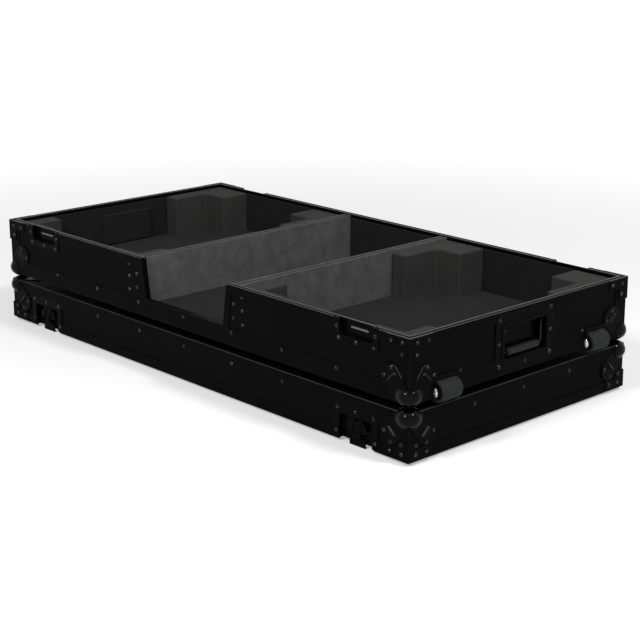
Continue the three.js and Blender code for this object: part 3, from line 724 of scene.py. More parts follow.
def smooth(piece, degrees=35.0):
    """Shade smooth with sharp edges kept, and flat faces kept flat beside their rounds."""
    only(piece)
    bpy.ops.object.shade_smooth_by_angle(angle=math.radians(degrees))
    piece.modifiers.new("weighted", "WEIGHTED_NORMAL").keep_sharp = True
    bpy.ops.object.modifier_apply(modifier="weighted")
    return piece


def rounded(piece, width, steps, degrees=30.0):
    """Round all edges sharper than the angle."""
    only(piece)
    bevel = piece.modifiers.new("edges", "BEVEL")
    bevel.width = width
    bevel.segments = steps
    bevel.limit_method = "ANGLE"
    bevel.angle_limit = math.radians(degrees)
    bevel.use_clamp_overlap = True
    bpy.ops.object.modifier_apply(modifier="edges")
    return piece


def copied(source, name):
    """A copy with its own mesh, free of any body."""
    only(source)
    bpy.ops.object.duplicate()
    piece = bpy.context.object
    piece.parent = None
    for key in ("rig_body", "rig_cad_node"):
        if key in piece:
            del piece[key]
    piece.name = name
    piece.data.name = name
    return piece


def merged_copy(node, name, whole_faces=True):
    """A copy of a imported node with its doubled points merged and, where no flat face runs
    round a hole, its flat faces joined."""
    piece = copied(frame["nodes"][node], name)
    bpy.ops.mesh.customdata_custom_splitnormals_clear()
    pick_all(piece)
    bpy.ops.mesh.remove_doubles(threshold=0.01 * MM)
    if whole_faces:
        bpy.ops.mesh.dissolve_limited(angle_limit=math.radians(0.5))
    bpy.ops.mesh.normals_make_consistent(inside=False)
    bpy.ops.object.mode_set(mode="OBJECT")
    return piece


def handed_over(piece, finish, slot, body, *nodes):
    """Paint a piece, hide what it stands for and let it ride."""
    material = finish_of(finish)
    piece.data.materials.clear()
    piece.data.materials.append(material)
    if nodes:
        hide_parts(*nodes)
    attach(piece, body)
    return piece


def body_of(node):
    return frame["nodes"][node]["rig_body"]


def dressed(node, finish, slot, edge, steps=2, whole_faces=True):
    """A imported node's own shape with rounded edges, standing for it."""
    piece = merged_copy(node, f"{node}_dressed", whole_faces)
    rounded(piece, edge, steps)
    smooth(piece)
    return handed_over(piece, finish, slot, body_of(node), node)


def join(pieces, name):
    only(*pieces)
    bpy.ops.object.join()
    return settle(bpy.context.object, name)


def repeated(master, places, name):
    """Copies of a modelled piece, one at each place, joined."""
    copies = []
    for place in places:
        copy = copied(master, name)
        copy.matrix_world = place
        copies.append(copy)
    return join(copies, name)


def discard(*pieces):
    only(*pieces)
    bpy.ops.object.delete()


def carved(piece, tool, operation="DIFFERENCE"):
    """Take a tool's shape away from a piece, or add it, and discard the tool."""
    only(piece)
    carve = piece.modifiers.new("carve", "BOOLEAN")
    carve.operation = operation
    carve.object = tool
    bpy.ops.object.modifier_apply(modifier="carve")
    discard(tool)


def block(low, high):
    """A block between two of its corners."""
    bpy.ops.mesh.primitive_cube_add(size=1, location=(low + high) / 2)
    piece = bpy.context.object
    piece.scale = high - low
    return piece


def facing(place, normal):
    """The matrix that stands a piece made along +Z on a place, along the normal."""
    turn = Vector(normal).to_track_quat("Z", "Y").to_matrix().to_4x4()
    return Matrix.Translation(Vector(place)) @ turn


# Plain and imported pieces

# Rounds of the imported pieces' edges that have no setting of their own
LATCH_EDGE = 0.35 * MM
HANDLE_EDGE = 0.45 * MM
BAIL_EDGE = 0.3 * MM
HOUSING_EDGE = 0.3 * MM
DIVIDER_EDGE = 0.5 * MM


class COFFIN_OT_panels(Operator):
    """Give the plywood panels their textured laminate."""

    bl_idname = "coffin_case.panels"
    bl_label = "Panels"

    def execute(self, context):
        material = finish_of("black_laminate")
        for half, walls in (("base", (*WALLS, "floor")), ("lid", (*WALLS, "top"))):
            for wall in walls:
                for slot in frame["nodes"][f"{half}_{wall}_panel"].material_slots:
                    slot.material = material
        return {"FINISHED"}


class COFFIN_OT_extrusions(Operator):
    """Dress the two extrusion frames with rounded, rubbed edges."""

    bl_idname = "coffin_case.extrusions"
    bl_label = "Extrusions"

    def execute(self, context):
        for half in ("base", "lid"):
            dressed(
                f"{half}_extrusion_frame", "black_extrusion", "black_extrusion",
                settings().sizes.edge, whole_faces=False)
        return {"FINISHED"}


# Ball corners, modelled with the corner itself at the origin and the case towards +X, +Y, +Z


def trimmed(piece, inside):
    """Cut off what comes nearer than this to the planes of the neighbour petals."""
    for normal in ((1, 0, 0), (0, 1, 0)):
        pick_all(piece)
        bpy.ops.mesh.bisect(
            plane_co=(inside, inside, 0), plane_no=normal, use_fill=True, clear_inner=True)
    bpy.ops.object.mode_set(mode="OBJECT")
    return piece


def petal_plate(tip, radius, thickness):
    """A petal on the face z = 0: a plate from the ball to its round, wider end."""
    root, taper, edge_share = 11 * MM, 0.74, 0.55
    bpy.ops.mesh.primitive_cylinder_add(
        vertices=56, radius=radius, depth=thickness, location=(tip, tip, -thickness / 2))
    petal = settle(bpy.context.object, "petal_plate")
    pick(petal, "VERT", lambda place: place.x + place.y < 2 * tip - NEAR)
    bpy.ops.transform.translate(value=(root - tip, root - tip, 0))
    bpy.ops.transform.resize(value=(taper, taper, 1), center_override=(root, root, 0))
    pick(petal, "EDGE", lambda a, b: max(a.z, b.z) < NEAR - thickness)
    bpy.ops.mesh.bevel(offset=edge_share * thickness, segments=3)
    return trimmed(petal, 0.0)


FILLET_STEPS = 6


def ball_fillet(centre, depth, thickness):
    """The pressed sweep from a petal's face up to the ball, as a stack of hollowed rings.

    The ball's middle lies under centre, at this depth below the case's face.
    """
    ball, foot, plinth, trim = settings().sizes.ball_radius, 19.5 * MM, 0.4 * MM, 3 * MM
    below = depth + thickness
    hollow = (foot ** 2 + below ** 2 - ball ** 2) / (2 * (ball - below))
    sweep = math.asin(foot / (ball + hollow))
    bpy.ops.mesh.primitive_cylinder_add(
        vertices=72, radius=foot, depth=plinth,
        location=(*centre, plinth / 2 - thickness))
    fillet = settle(bpy.context.object, "ball_fillet")
    pick(fillet, "FACE", lambda middle, normal: normal.z < -SQUARE_ON)
    width, height = foot, 0.0
    for step in range(1, FILLET_STEPS + 1):
        angle = sweep * step / FILLET_STEPS
        rise = hollow * (1 - math.cos(angle)) - height
        narrow = (foot - hollow * math.sin(angle)) / width
        width, height = width * narrow, height + rise
        bpy.ops.mesh.extrude_region_move(TRANSFORM_OT_translate={"value": (0, 0, -rise)})
        bpy.ops.transform.resize(value=(narrow, narrow, 1), center_override=(*centre, 0))
    return trimmed(fillet, trim)


def petal_rib(middle, thickness):
    """The long pressed bead that crosses a petal between the ball and the rivets."""
    radius, half_length, height_share = 3.8 * MM, 8.5 * MM, 0.5
    bpy.ops.mesh.primitive_uv_sphere_add(
        segments=24, ring_count=12, radius=radius, location=(middle, middle, -thickness))
    rib = settle(bpy.context.object, "petal_rib")
    for side in (-1, 1):
        pick(rib, "VERT", lambda place: side * (place.x - place.y) > NEAR)
        step = side * half_length / math.sqrt(2)
        bpy.ops.transform.translate(value=(step, -step, 0))
    bpy.ops.mesh.select_all(action="SELECT")
    bpy.ops.transform.resize(
        value=(1, 1, height_share), center_override=(0, 0, -thickness))
    bpy.ops.mesh.bisect(
        plane_co=(0, 0, -0.5 * thickness), plane_no=(0, 0, 1), use_fill=True,
        clear_outer=True)
    bpy.ops.object.mode_set(mode="OBJECT")
    return rib


def ball_middle():
    """The ball's middle from the corner's own corner, before it is squashed."""
    sizes = settings().sizes
    aside = sizes.ball_radius - sizes.ball_bulge
    return Vector((aside, aside, sizes.ball_radius - sizes.ball_reach / sizes.ball_squash))


def squashed(piece):
    """Flatten a ball or its sweep towards the corner's face z = 0."""
    pick_all(piece)
    bpy.ops.transform.resize(
        value=(1, 1, settings().sizes.ball_squash), center_override=(0, 0, 0))
    bpy.ops.object.mode_set(mode="OBJECT")
    return piece


def notch_wedge(axis, tip):
    """A three-sided prism that opens outward over this edge of the corner, from tip on."""
    radius, length = 30 * MM, 60 * MM
    bpy.ops.mesh.primitive_cylinder_add(
        vertices=3, radius=radius, depth=length, location=(0, 0, 0))
    wedge = bpy.context.object
    # Lay the prism along the outward diagonal, with one edge pointing down the case's edge.
    out = Vector([0.0 if step == axis else -1.0 for step in range(3)]).normalized()
    down = Vector([-1.0 if step == axis else 0.0 for step in range(3)])
    aside = down.cross(out)
    turned = Matrix((aside, down, out)).transposed().to_4x4()
    wedge.matrix_world = Matrix.Translation((tip + radius) * -down + 0.5 * length * out) @ turned
    return settle(wedge, "notch_wedge")


def ball_master():
    """The ball of a corner whose own corner is the origin, open towards the case."""
    sizes, open_from, notch_tip = settings().sizes, 10.5 * MM, 23.5 * MM
    only()
    bpy.ops.mesh.primitive_uv_sphere_add(
        segments=sizes.ball_segments, ring_count=sizes.ball_segments // 2,
        radius=sizes.ball_radius, location=ball_middle())
    ball = settle(bpy.context.object, "corner_ball")
    room = 3 * sizes.ball_radius
    bpy.ops.mesh.primitive_cube_add(size=room, location=[open_from + room / 2] * 3)
    carved(ball, bpy.context.object)
    # A notch between each two petals shows the case's edge.
    for axis in range(3):
        carved(ball, notch_wedge(axis, notch_tip))
    squashed(ball)
    outward(ball)
    return ball


def petals_master():
    """Three petals, on the faces z = 0, y = 0 and x = 0, round the same ball."""
    sizes, thickness, rib_back = settings().sizes, PETAL_PROUD, 3 * MM
    middle = ball_middle()
    petals = []
    for turn in range(3):
        # The petal's own axes (u, v, depth) stand for these axes of the corner.
        axes = [(turn + step) % 3 for step in range(3)]
        turned = Matrix.Identity(4)
        for column, axis in enumerate(axes):
            for row in range(3):
                turned[row][column] = float(row == axis)
        petal = join([
            petal_plate(sizes.petal_tip, sizes.petal_radius, thickness),
            petal_rib(sizes.petal_tip - rib_back, thickness)], f"petal_{turn}")
        sweep = ball_fillet((middle[axes[0]], middle[axes[1]]), middle[axes[2]], thickness)
        for piece in (petal, sweep):
            piece.matrix_world = turned
            settle(piece, piece.name)
        petals += [petal, squashed(sweep)]
    master = join(petals, "corner_petals")
    outward(master)
    return master


class COFFIN_OT_ball_corners(Operator):
    """Model the pressed ball corners and set one on each corner of lid and base."""

    bl_idname = "coffin_case.ball_corners"
    bl_label = "Ball corners"

    def execute(self, context):
        masters = (
            ("pressed", "black_corner", petals_master()),
            ("ball", "corner_ball", ball_master()))
        for half, level, up in (("base", BASE_FOOT, 1), ("lid", LID_TOP, -1)):
            for side, (sign_x, sign_y) in CORNERS.items():
                node = f"{half}_ball_corner_{side}"
                for kind, finish, master in masters:
                    piece = copied(master, f"{node}_{kind}")
                    piece.scale = (-sign_x, -sign_y, up)
                    piece.location = (
                        CASE_MIDDLE + sign_x * HALF_LENGTH, sign_y * HALF_DEPTH, level)
                    settle(piece, f"{node}_{kind}")
                    outward(piece)
                    smooth(piece)
                    handed_over(piece, finish, "black_corner", half, node)
        discard(*(master for _, _, master in masters))
        return {"FINISHED"}


# Latches, handles and wheels


class COFFIN_OT_latches(Operator):
    """Dress the four butterfly latches and their keepers with rounded edges."""

    bl_idname = "coffin_case.latches"
    bl_label = "Latches"

    def execute(self, context):
        for side in CORNERS:
            for kind in ("keeper", "dish", "wing", "hook"):
                finish = "latch_keeper" if kind == "keeper" else "black_latch"
                dressed(f"latch_{kind}_{side}", finish, "black_latch", LATCH_EDGE)
        return {"FINISHED"}


def lying_cylinder(node, length, facets):
    """A cylinder along Y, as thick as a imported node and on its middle; and that middle."""
    low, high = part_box(node)
    middle = (low + high) / 2
    bpy.ops.mesh.primitive_cylinder_add(
        vertices=facets, radius=(high.z - low.z) / 2, depth=length, location=middle,
        rotation=(math.radians(90), 0, 0))
    return settle(bpy.context.object, f"{node}_moulded"), middle


def hand_grip(node):
    """A moulded grip with rounded shoulders and a ring groove near each end."""
    low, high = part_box(node)
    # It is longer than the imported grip, and its grooves lie at shares of its length.
    longer, groove_shares, groove_depth, shoulder = 8 * MM, (0.44, 0.47), 0.6 * MM, 2.2 * MM
    length = high.y - low.y + longer
    grip, middle = lying_cylinder(node, length, 40)
    for share in groove_shares:
        for sign in (-1, 1):
            pick_all(grip)
            bpy.ops.mesh.bisect(
                plane_co=(0, middle.y + sign * share * length, 0), plane_no=(0, 1, 0))
    start, stop = (share * length for share in groove_shares)
    pick(grip, "FACE", lambda centre, normal: abs(normal.y) < SQUARE_ON
         and start < abs(centre.y - middle.y) < stop)
    bpy.ops.mesh.extrude_region_shrink_fatten(
        TRANSFORM_OT_shrink_fatten={"value": -groove_depth})
    pick(grip, "EDGE", lambda a, b: min(abs(a.y - middle.y), abs(b.y - middle.y))
         > length / 2 - NEAR)
    bpy.ops.mesh.bevel(offset=shoulder, segments=4)
    outward(grip)
    return smooth(grip, 40.0)


class COFFIN_OT_handles(Operator):
    """Dress the handle dishes and bails, and model the hand grips."""

    bl_idname = "coffin_case.handles"
    bl_label = "Handles"

    def execute(self, context):
        for side in SIDES:
            dressed(f"handle_dish_{side}", "black_latch", "black_latch", HANDLE_EDGE)
            node = f"handle_bail_{side}"
            bail = merged_copy(node, f"{node}_round")
            pick_all(bail)
            bpy.ops.mesh.tris_convert_to_quads()
            rounded(bail, BAIL_EDGE, 1, 50.0)
            smooth(bail, 50.0)
            handed_over(bail, "dark_bail", "bright_steel", body_of(node), node)
            node = f"handle_grip_{side}"
            handed_over(hand_grip(node), "hand_grip", "dark_rubber", body_of(node), node)
        return {"FINISHED"}


def tilt_wheel(node):
    """A roller with rounded shoulders and a hollow hub on each end."""
    low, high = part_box(node)
    width = high.y - low.y
    shoulder, face_width, hub_depth, hub_slope = 2.4 * MM, 4.5 * MM, 0.8 * MM, 0.8 * MM
    wheel, _ = lying_cylinder(node, width, 64)
    pick(wheel, "EDGE", lambda a, b: abs(a.y - b.y) < NEAR)
    bpy.ops.mesh.bevel(offset=shoulder, segments=4)
    pick(wheel, "FACE", lambda centre, normal: abs(normal.y) > SQUARE_ON)
    bpy.ops.mesh.inset(thickness=face_width, use_individual=True)
    bpy.ops.mesh.extrude_region_shrink_fatten(
        TRANSFORM_OT_shrink_fatten={"value": -hub_depth})
    bpy.ops.mesh.inset(thickness=hub_slope, use_individual=True)
    outward(wheel)
    return smooth(wheel, 40.0)


def hub_cap(place, normal, name):
    """A bright domed cap with a small rim, standing on an ear of the housing."""
    radius, height, rim = 9.5 * MM, 3 * MM, 1.5 * MM
    sphere = (radius ** 2 + height ** 2) / 2 / height
    bpy.ops.mesh.primitive_uv_sphere_add(
        segments=40, ring_count=64, radius=sphere, location=(0, 0, height - sphere))
    cap = settle(bpy.context.object, name)
    pick_all(cap)
    bpy.ops.mesh.bisect(
        plane_co=(0, 0, 0), plane_no=(0, 0, 1), use_fill=True, clear_inner=True)
    pick(cap, "FACE", lambda centre, normal: normal.z < -SQUARE_ON)
    bpy.ops.mesh.extrude_region_move(TRANSFORM_OT_translate={"value": (0, 0, -rim)})
    bpy.ops.object.mode_set(mode="OBJECT")
    cap.matrix_world = facing(place, normal)
    settle(cap, name)
    outward(cap)
    return smooth(cap, 40.0)


class COFFIN_OT_tilt_wheels(Operator):
    """Model the two tilt wheels, dress their housings and cap the hubs."""

    bl_idname = "coffin_case.tilt_wheels"
    bl_label = "Tilt wheels"

    def execute(self, context):
        cap_seat = 1.2 * MM
        for side in WHEELS:
            node = f"wheel_{side}"
            handed_over(tilt_wheel(node), "dark_rubber", "dark_rubber", body_of(node), node)
            housing = f"wheel_housing_{side}"
            dressed(housing, "black_latch", "black_latch", HOUSING_EDGE)
            middle = sum(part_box(node), Vector()) / 2
            for (tag, sign), end in zip(WHEELS.items(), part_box(housing)):
                cap = hub_cap(
                    (middle.x, end.y - sign * cap_seat, middle.z), (0, sign, 0),
                    f"wheel_{side}_hub_cap_{tag}")
                handed_over(cap, "bright_steel", "bright_steel", "base")
        return {"FINISHED"}


# Dividers, foam and lining


class COFFIN_OT_dividers(Operator):
    """Dress the dividers: grey felt on both faces and the stained core between."""

    bl_idname = "coffin_case.dividers"
    bl_label = "Dividers"

    def execute(self, context):
        felt, core_drop = 4.2 * MM, 0.8 * MM
        for side in SIDES:
            node = f"{side}_divider"
            low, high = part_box(node)
            piece = merged_copy(node, f"{node}_lined")
            for cut in (low.x + felt, high.x - felt):
                pick_all(piece)
                bpy.ops.mesh.bisect(plane_co=(cut, 0, 0), plane_no=(1, 0, 0))
            middle, core = (low.x + high.x) / 2, (high.x - low.x) / 2 - felt

            def on_core(centre, normal):
                return normal.z > SQUARE_ON and abs(centre.x - middle) < core

            pick(piece, "FACE", on_core)
            bpy.ops.mesh.extrude_region_move(
                TRANSFORM_OT_translate={"value": (0, 0, -core_drop)})
            outward(piece)
            handed_over(piece, "divider_lining", "divider_lining", "base", node)
            piece.data.materials.append(finish_of("divider_core"))
            for face in piece.data.polygons:
                if on_core(face.center, face.normal):
                    face.material_index = 1
            rounded(piece, DIVIDER_EDGE, 2)
            smooth(piece)
        return {"FINISHED"}


class COFFIN_OT_foam(Operator):
    """Model the deck pads, the bays' floor foam and the lid lining as soft foam."""

    bl_idname = "coffin_case.foam"
    bl_label = "Foam"

    def execute(self, context):
        edge = settings().sizes.foam_edge
        pads = [f"{bay}_bay_pad_{side}" for bay in SIDES for side in CORNERS]
        floors = [f"{bay}_bay_floor_foam" for bay in ("left", "mixer", "right")]
        for node, round_edge in (
                *((pad, edge) for pad in pads),
                *((floor, edge / 2) for floor in floors),
                ("lid_lining", edge / 2)):
            piece = merged_copy(node, f"{node}_soft")
            rounded(piece, round_edge, 3)
            smooth(piece)
            finish = "bay_lining" if node in floors else "dark_foam"
            handed_over(piece, finish, "dark_foam", body_of(node), node)
        return {"FINISHED"}


LINING_EDGE = 1.1 * MM
LINING_THICKNESS = 3 * MM
LINING_GAP = 0.4 * MM
LINING_DROP = 7.5 * MM


def lining_board(name, low, high, covers=(), rooms=()):
    """A foam-backed board of lining with its covers over fittings and room for them."""
    board = settle(block(low, high), name)
    for cover in covers:
        carved(board, block(*cover), "UNION")
    for room in rooms:
        carved(board, block(*room))
    outward(board)
    rounded(board, LINING_EDGE, 3)
    smooth(board)
    handed_over(board, "bay_lining", "dark_foam", "base")


def spread(one, other, margin):
    """The corners of the box that holds two points, grown by a margin for each axis."""
    low = Vector([min(pair) - grow for *pair, grow in zip(one, other, margin)])
    high = Vector([max(pair) + grow for *pair, grow in zip(one, other, margin)])
    return low, high


def end_wall_lining(side, sign, face, front, back, foot, top):
    """The board on an end wall, with a raised cover over the handle's pocket."""
    half_pocket, pocket_foot, pocket_head = 56.5 * MM, 26.5 * MM, 86.5 * MM
    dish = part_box(f"handle_dish_{side}")
    back_of_dish = dish[1].x if sign < 0 else dish[0].x
    inner_face = face - sign * LINING_THICKNESS

    def pocket(start, end, margin):
        """The box over the handle's pocket between two places along the case."""
        return spread(
            (start, -half_pocket, BASE_FOOT + pocket_foot),
            (end, half_pocket, BASE_FOOT + pocket_head), margin)

    around = [LINING_GAP] * 3
    rooms = [pocket(face + sign * LINING_THICKNESS, back_of_dish, around)]
    if sign > 0:
        rooms.append(spread(*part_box("wheel_housing_front"), around))
    cover = pocket(
        face, back_of_dish - sign * LINING_THICKNESS,
        (0, 2 * LINING_THICKNESS, LINING_THICKNESS))
    lining_board(
        f"{side}_bay_end_wall_lining",
        *spread((face, front, foot), (inner_face, back, top), (0, 0, 0)),
        covers=[cover], rooms=rooms)


class COFFIN_OT_wall_lining(Operator):
    """Line the bays' walls between the deck pads with foam-backed boards."""

    bl_idname = "coffin_case.wall_lining"
    bl_label = "Wall lining"

    def execute(self, context):
        gap, top = LINING_GAP, BASE_RIM - LINING_DROP
        for side, sign in SIDES.items():
            pads = {corner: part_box(f"{side}_bay_pad_{corner}") for corner in CORNERS}
            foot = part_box(f"{side}_bay_floor_foam")[1].z
            for wall, outer, way in (("front", 0, 1), ("back", 1, -1)):
                near, far = pads[f"{wall}_left"], pads[f"{wall}_right"]
                face = near[outer].y
                lining_board(f"{side}_bay_{wall}_wall_lining", *spread(
                    (near[1].x + gap, face, foot),
                    (far[0].x - gap, face + way * LINING_THICKNESS, top), (0, 0, 0)))
            near, far = pads[f"front_{side}"], pads[f"back_{side}"]
            face = near[0].x if sign < 0 else near[1].x
            end_wall_lining(side, sign, face, near[1].y + gap, far[0].y - gap, foot, top)
        low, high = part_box("mixer_bay_floor_foam")
        lining_board(
            "mixer_bay_back_wall_lining",
            Vector((low.x + gap, high.y - LINING_THICKNESS, high.z)),
            Vector((high.x - gap, high.y, top)))
        return {"FINISHED"}


# Rivets

# Spots in mm, along a wall from its middle and above the base's foot
BASE_FRONT_ROW = ((141, 25), (279, 24.5), (418, 24.5), (0, 24.5))
BASE_BACK_ROW = ((140, 24.5), (279, 24.5), (418, 24.5), (0, 24.5))
BASE_END_ROW = ((164, 34),)
OPENING_ZIGZAG = ((146, 80), (146, 53), (170, 97), (170, 72), (170, 45))
HANDLE_SPOTS = ((68, 100), (68, 58), (68, 17.5), (0, 15.8))
# From a wall's middle and above the lid's rim
LID_LONG_ROW = ((140, 65), (279.5, 65), (0, 65))
LID_END_ROW = ((127, 65), (0, 65))
# From a latch's middle and away from the rim
KEEPER_SPOTS = ((46, 15), (42, 35.5), (0, 35.5))
DISH_SPOTS = ((44, 55), (0, 55), (46.5, 12))
# From a wall's end and away from the rim, or from the seam at the ball corners
BASE_CLAMP_SPOTS = ((15.5, 11), (42, 11), (15.5, 31))
LID_CLAMP_SPOTS = ((15.5, 11), (42, 11), (15.5, 27.5))
PETAL_SPOTS = ((40.5, 57), (57, 40.5))


def rivet_master():
    """A pop rivet: a domed flange with a dimple in the middle."""
    sizes = settings().sizes
    radius, height = sizes.rivet_radius, sizes.rivet_height
    # How far each ring rises or sinks, and its width, as shares of the height and the last ring
    sunk_share, ring_shares = 0.2, ((0.5, 0.93), (0.35, 0.72), (0.15, 0.42), (-0.45, 0.8))
    only()
    bpy.ops.mesh.primitive_circle_add(
        vertices=12, radius=radius, fill_type="NGON", location=(0, 0, -sunk_share * height))
    rivet = settle(bpy.context.object, "rivet_master")
    pick_all(rivet)
    for rise, width in ring_shares:
        bpy.ops.mesh.extrude_region_move(
            TRANSFORM_OT_translate={"value": (0, 0, rise * height)})
        bpy.ops.transform.resize(value=(width, width, 1), center_override=(0, 0, 0))
    outward(rivet)
    return smooth(rivet, 60.0)


def mirrored(spots):
    """Spots on both sides of a middle; a spot on the middle itself stays single."""
    return [
        (sign * along, height) for along, height in spots
        for sign in ((-1, 1) if along else (1,))]


def from_ends(wall, spots):
    """Spots from a wall's two ends, seen from its middle."""
    half = (HALF_DEPTH if WALLS[wall].x else HALF_LENGTH) / MM
    return mirrored([(half - along, height) for along, height in spots])


def from_latches(spots):
    """Spots round both latches of a long wall, seen from its middle."""
    return [
        (sign * LATCH_OUT / MM + along, height)
        for sign in (-1, 1) for along, height in mirrored(spots)]


def wall_places(wall, skin, spots, level, way=1):
    """Matrices for spots on a wall's skin, with heights up or down from a level."""
    normal = WALLS[wall]
    axis = 0 if normal.x else 1
    places = []
    for along, height in spots:
        spot = Vector((0, 0, level + way * height * MM))
        spot[axis] = MIDDLES[axis] + normal[axis] * (HALVES[axis] + skin)
        spot[1 - axis] = along * MM + MIDDLES[1 - axis]
        places.append(facing(spot, normal))
    return places


class COFFIN_OT_rivets(Operator):
    """Model one rivet and set it along the extrusions, clamps, corners and plates."""

    bl_idname = "coffin_case.rivets"
    bl_label = "Rivets"

    def execute(self, context):
        master = rivet_master()
        base, lid = [], []
        for wall, row in (("front", BASE_FRONT_ROW), ("back", BASE_BACK_ROW)):
            base += wall_places(wall, BAR_PROUD, mirrored(row), BASE_FOOT)
            lid += wall_places(wall, BAR_PROUD, mirrored(LID_LONG_ROW), LID_RIM)
        base += wall_places("front", PLY_PROUD, mirrored(OPENING_ZIGZAG), BASE_FOOT)
        base += wall_places("right", PLY_PROUD, mirrored(BASE_END_ROW), BASE_FOOT)
        for wall in SIDES:
            lid += wall_places(wall, BAR_PROUD, mirrored(LID_END_ROW), LID_RIM)
        for wall in WALLS:
            base_clamps, lid_clamps, petals = (
                from_ends(wall, spots)
                for spots in (BASE_CLAMP_SPOTS, LID_CLAMP_SPOTS, PETAL_SPOTS))
            base += wall_places(wall, CLAMP_PROUD, base_clamps, BASE_RIM, -1)
            lid += wall_places(wall, CLAMP_PROUD, lid_clamps, LID_RIM)
            base += wall_places(wall, PETAL_PROUD, petals, BASE_FOOT)
            lid += wall_places(wall, PETAL_PROUD, petals, LID_TOP, -1)
        for wall in ("front", "back"):
            base += wall_places(wall, PLATE_PROUD, from_latches(KEEPER_SPOTS), BASE_RIM, -1)
            lid += wall_places(wall, PLATE_PROUD, from_latches(DISH_SPOTS), LID_RIM)
        for wall in SIDES:
            base += wall_places(wall, PLATE_PROUD, mirrored(HANDLE_SPOTS), BASE_FOOT)

        for body, places in (("base", base), ("lid", lid)):
            piece = repeated(master, places, f"{body}_rivets")
            handed_over(piece, "dark_rivet", "black_latch", body)
        discard(master)
        return {"FINISHED"}


# The stage: the view of the photograph, two soft lamps and a white surround

VIEW_PLACE = Vector((2.24563, -2.01986, 0.95802))
VIEW_TURN = math.radians(45.934)
VIEW_RISE = math.radians(14.635)
VIEW_ROLL = math.radians(0.279)
VIEW_LENS, VIEW_SENSOR = 88.15, 36.0
VIEW_SHIFT = (-0.0537, -0.0773)
VIEW_END = 100.0
FLOOR_RADIUS, FLOOR_DROP = 30.0, 0.2 * MM
# The surround's light on the object, and the floor's own glow near and far from it
SKY_LIGHT, FLOOR_GLOW, FAR_GLOW = 0.3, 0.36, 0.5
LAMP_AIM = Vector((0.45, -0.2, 0.12))
LAMP_DISTANCE, LAMP_SIZE, LAMP_POWER = 3.4, 0.5, 48.0
# Each lamp's way from the aim, to the right, up and back of the camera
LAMPS = {"left": (-0.52, 0.53, 0.665), "right": (0.485, 0.708, 0.51)}


def view_axes():
    """Right, up and back of the camera."""
    back = Vector((
        math.sin(VIEW_TURN) * math.cos(VIEW_RISE),
        -math.cos(VIEW_TURN) * math.cos(VIEW_RISE),
        math.sin(VIEW_RISE)))
    level = Vector((math.cos(VIEW_TURN), math.sin(VIEW_TURN), 0))
    upright = back.cross(level)
    right = math.cos(VIEW_ROLL) * level + math.sin(VIEW_ROLL) * upright
    return right, back.cross(right), back


def seen_ray(finish):
    """1 for rays that show the surround: camera, glossy and transmission rays."""
    path = finish.node("ShaderNodeLightPath")
    rays = [Term(finish, path.outputs[name]) for name in (
        "Is Camera Ray", "Is Glossy Ray", "Is Transmission Ray")]
    return rays[0].greater(rays[1]).greater(rays[2])


def floor_finish(finish):
    """Pale paper that keeps the shadow and shows white in front of the camera."""
    colour = settings().colours.floor
    tooth = finish.noise(40.0, 3.0)
    paper = finish.node("ShaderNodeBsdfDiffuse", {}, {
        "Color": finish.mix(tooth, tint(colour, 0.99), tint(colour, 1.01))})
    reach = finish.node("ShaderNodeVectorMath", {"operation": "LENGTH"})
    finish.plug(reach.inputs[0], finish.where())
    far = Term(finish, reach.outputs["Value"]).between(0.8, 3.5)
    glow = finish.node("ShaderNodeEmission", {}, {
        "Color": (1, 1, 1, 1), "Strength": seen_ray(finish) * (FLOOR_GLOW + far * FAR_GLOW)})
    both = finish.node("ShaderNodeAddShader")
    finish.plug(both.inputs[0], paper.outputs[0])
    finish.plug(both.inputs[1], glow.outputs[0])
    finish.node("ShaderNodeOutputMaterial", {}, {"Surface": both.outputs[0]})


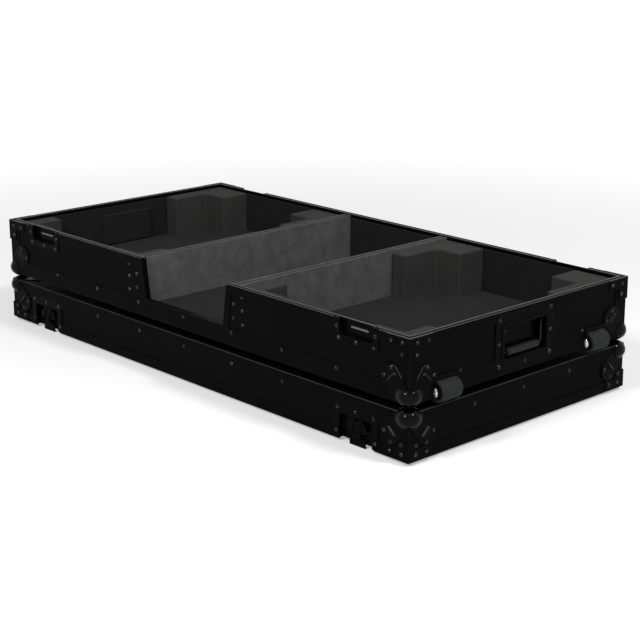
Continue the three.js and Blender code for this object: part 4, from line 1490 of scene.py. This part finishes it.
class COFFIN_OT_stage(Operator):
    """Set the floor, the lamps, the white surround and the photograph's camera."""

    bl_idname = "coffin_case.stage"
    bl_label = "Stage"

    def execute(self, context):
        scene = context.scene
        right, up, back = view_axes()
        bpy.ops.mesh.primitive_circle_add(
            vertices=96, radius=FLOOR_RADIUS, fill_type="NGON",
            location=(0, 0, CAD_LOW.z - FLOOR_DROP))
        floor = settle(context.object, "studio_floor")
        paper = bpy.data.materials.new("studio_floor")
        floor_finish(Finish(paper))
        floor.data.materials.append(paper)

        bpy.ops.object.camera_add(location=VIEW_PLACE)
        camera = context.object
        camera.name = "photo_camera"
        turn = Matrix((right, up, back)).transposed().to_4x4()
        camera.matrix_world = Matrix.Translation(VIEW_PLACE) @ turn
        camera.data.sensor_width = VIEW_SENSOR
        camera.data.lens = VIEW_LENS
        camera.data.shift_x, camera.data.shift_y = VIEW_SHIFT
        camera.data.clip_end = VIEW_END
        scene.camera = camera

        for name, (x, y, z) in LAMPS.items():
            way = (x * right + y * up + z * back).normalized()
            bpy.ops.object.light_add(type="AREA")
            lamp = context.object
            lamp.name = f"softbox_{name}"
            lamp.matrix_world = facing(LAMP_AIM + LAMP_DISTANCE * way, way)
            lamp.data.shape = "SQUARE"
            lamp.data.size = LAMP_SIZE
            lamp.data.energy = LAMP_POWER

        scene.world = scene.world or bpy.data.worlds.new("studio")
        surround = Finish(scene.world)
        seen = seen_ray(surround)
        sky = surround.node("ShaderNodeBackground", {}, {
            "Color": (1, 1, 1, 1), "Strength": SKY_LIGHT + seen * (1 - SKY_LIGHT)})
        surround.node("ShaderNodeOutputWorld", {}, {"Surface": sky.outputs[0]})
        scene.view_settings.view_transform = "Standard"
        return {"FINISHED"}


class COFFIN_PT_sidebar(Panel):
    """Lists the steps that dress the case, and its sizes and colours."""

    bl_idname = "COFFIN_PT_sidebar"
    bl_label = "Coffin case"
    bl_space_type = "VIEW_3D"
    bl_region_type = "UI"
    bl_category = "Coffin case"

    def draw(self, context):
        for step in STEPS:
            self.layout.operator(step.bl_idname)
        for group in (settings().sizes, settings().colours):
            box = self.layout.box()
            for name in group.__annotations__:
                box.prop(group, name)


STEPS = (
    COFFIN_OT_stage,
    COFFIN_OT_panels,
    COFFIN_OT_extrusions,
    COFFIN_OT_ball_corners,
    COFFIN_OT_latches,
    COFFIN_OT_handles,
    COFFIN_OT_tilt_wheels,
    COFFIN_OT_dividers,
    COFFIN_OT_foam,
    COFFIN_OT_wall_lining,
    COFFIN_OT_rivets,
)
CLASSES = (CaseSizes, CaseColours, CaseSettings, *STEPS, COFFIN_PT_sidebar)


def register():
    for item in CLASSES:
        bpy.utils.register_class(item)
    bpy.types.Scene.coffin_case = PointerProperty(type=CaseSettings)


def unregister():
    del bpy.types.Scene.coffin_case
    for item in reversed(CLASSES):
        bpy.utils.unregister_class(item)


def main():
    register()
    bpy.ops.coffin_case.stage()
    bpy.ops.coffin_case.panels()
    bpy.ops.coffin_case.extrusions()
    bpy.ops.coffin_case.ball_corners()
    bpy.ops.coffin_case.latches()
    bpy.ops.coffin_case.handles()
    bpy.ops.coffin_case.tilt_wheels()
    bpy.ops.coffin_case.dividers()
    bpy.ops.coffin_case.foam()
    bpy.ops.coffin_case.wall_lining()
    bpy.ops.coffin_case.rivets()


if __name__ == "__main__":
    main()
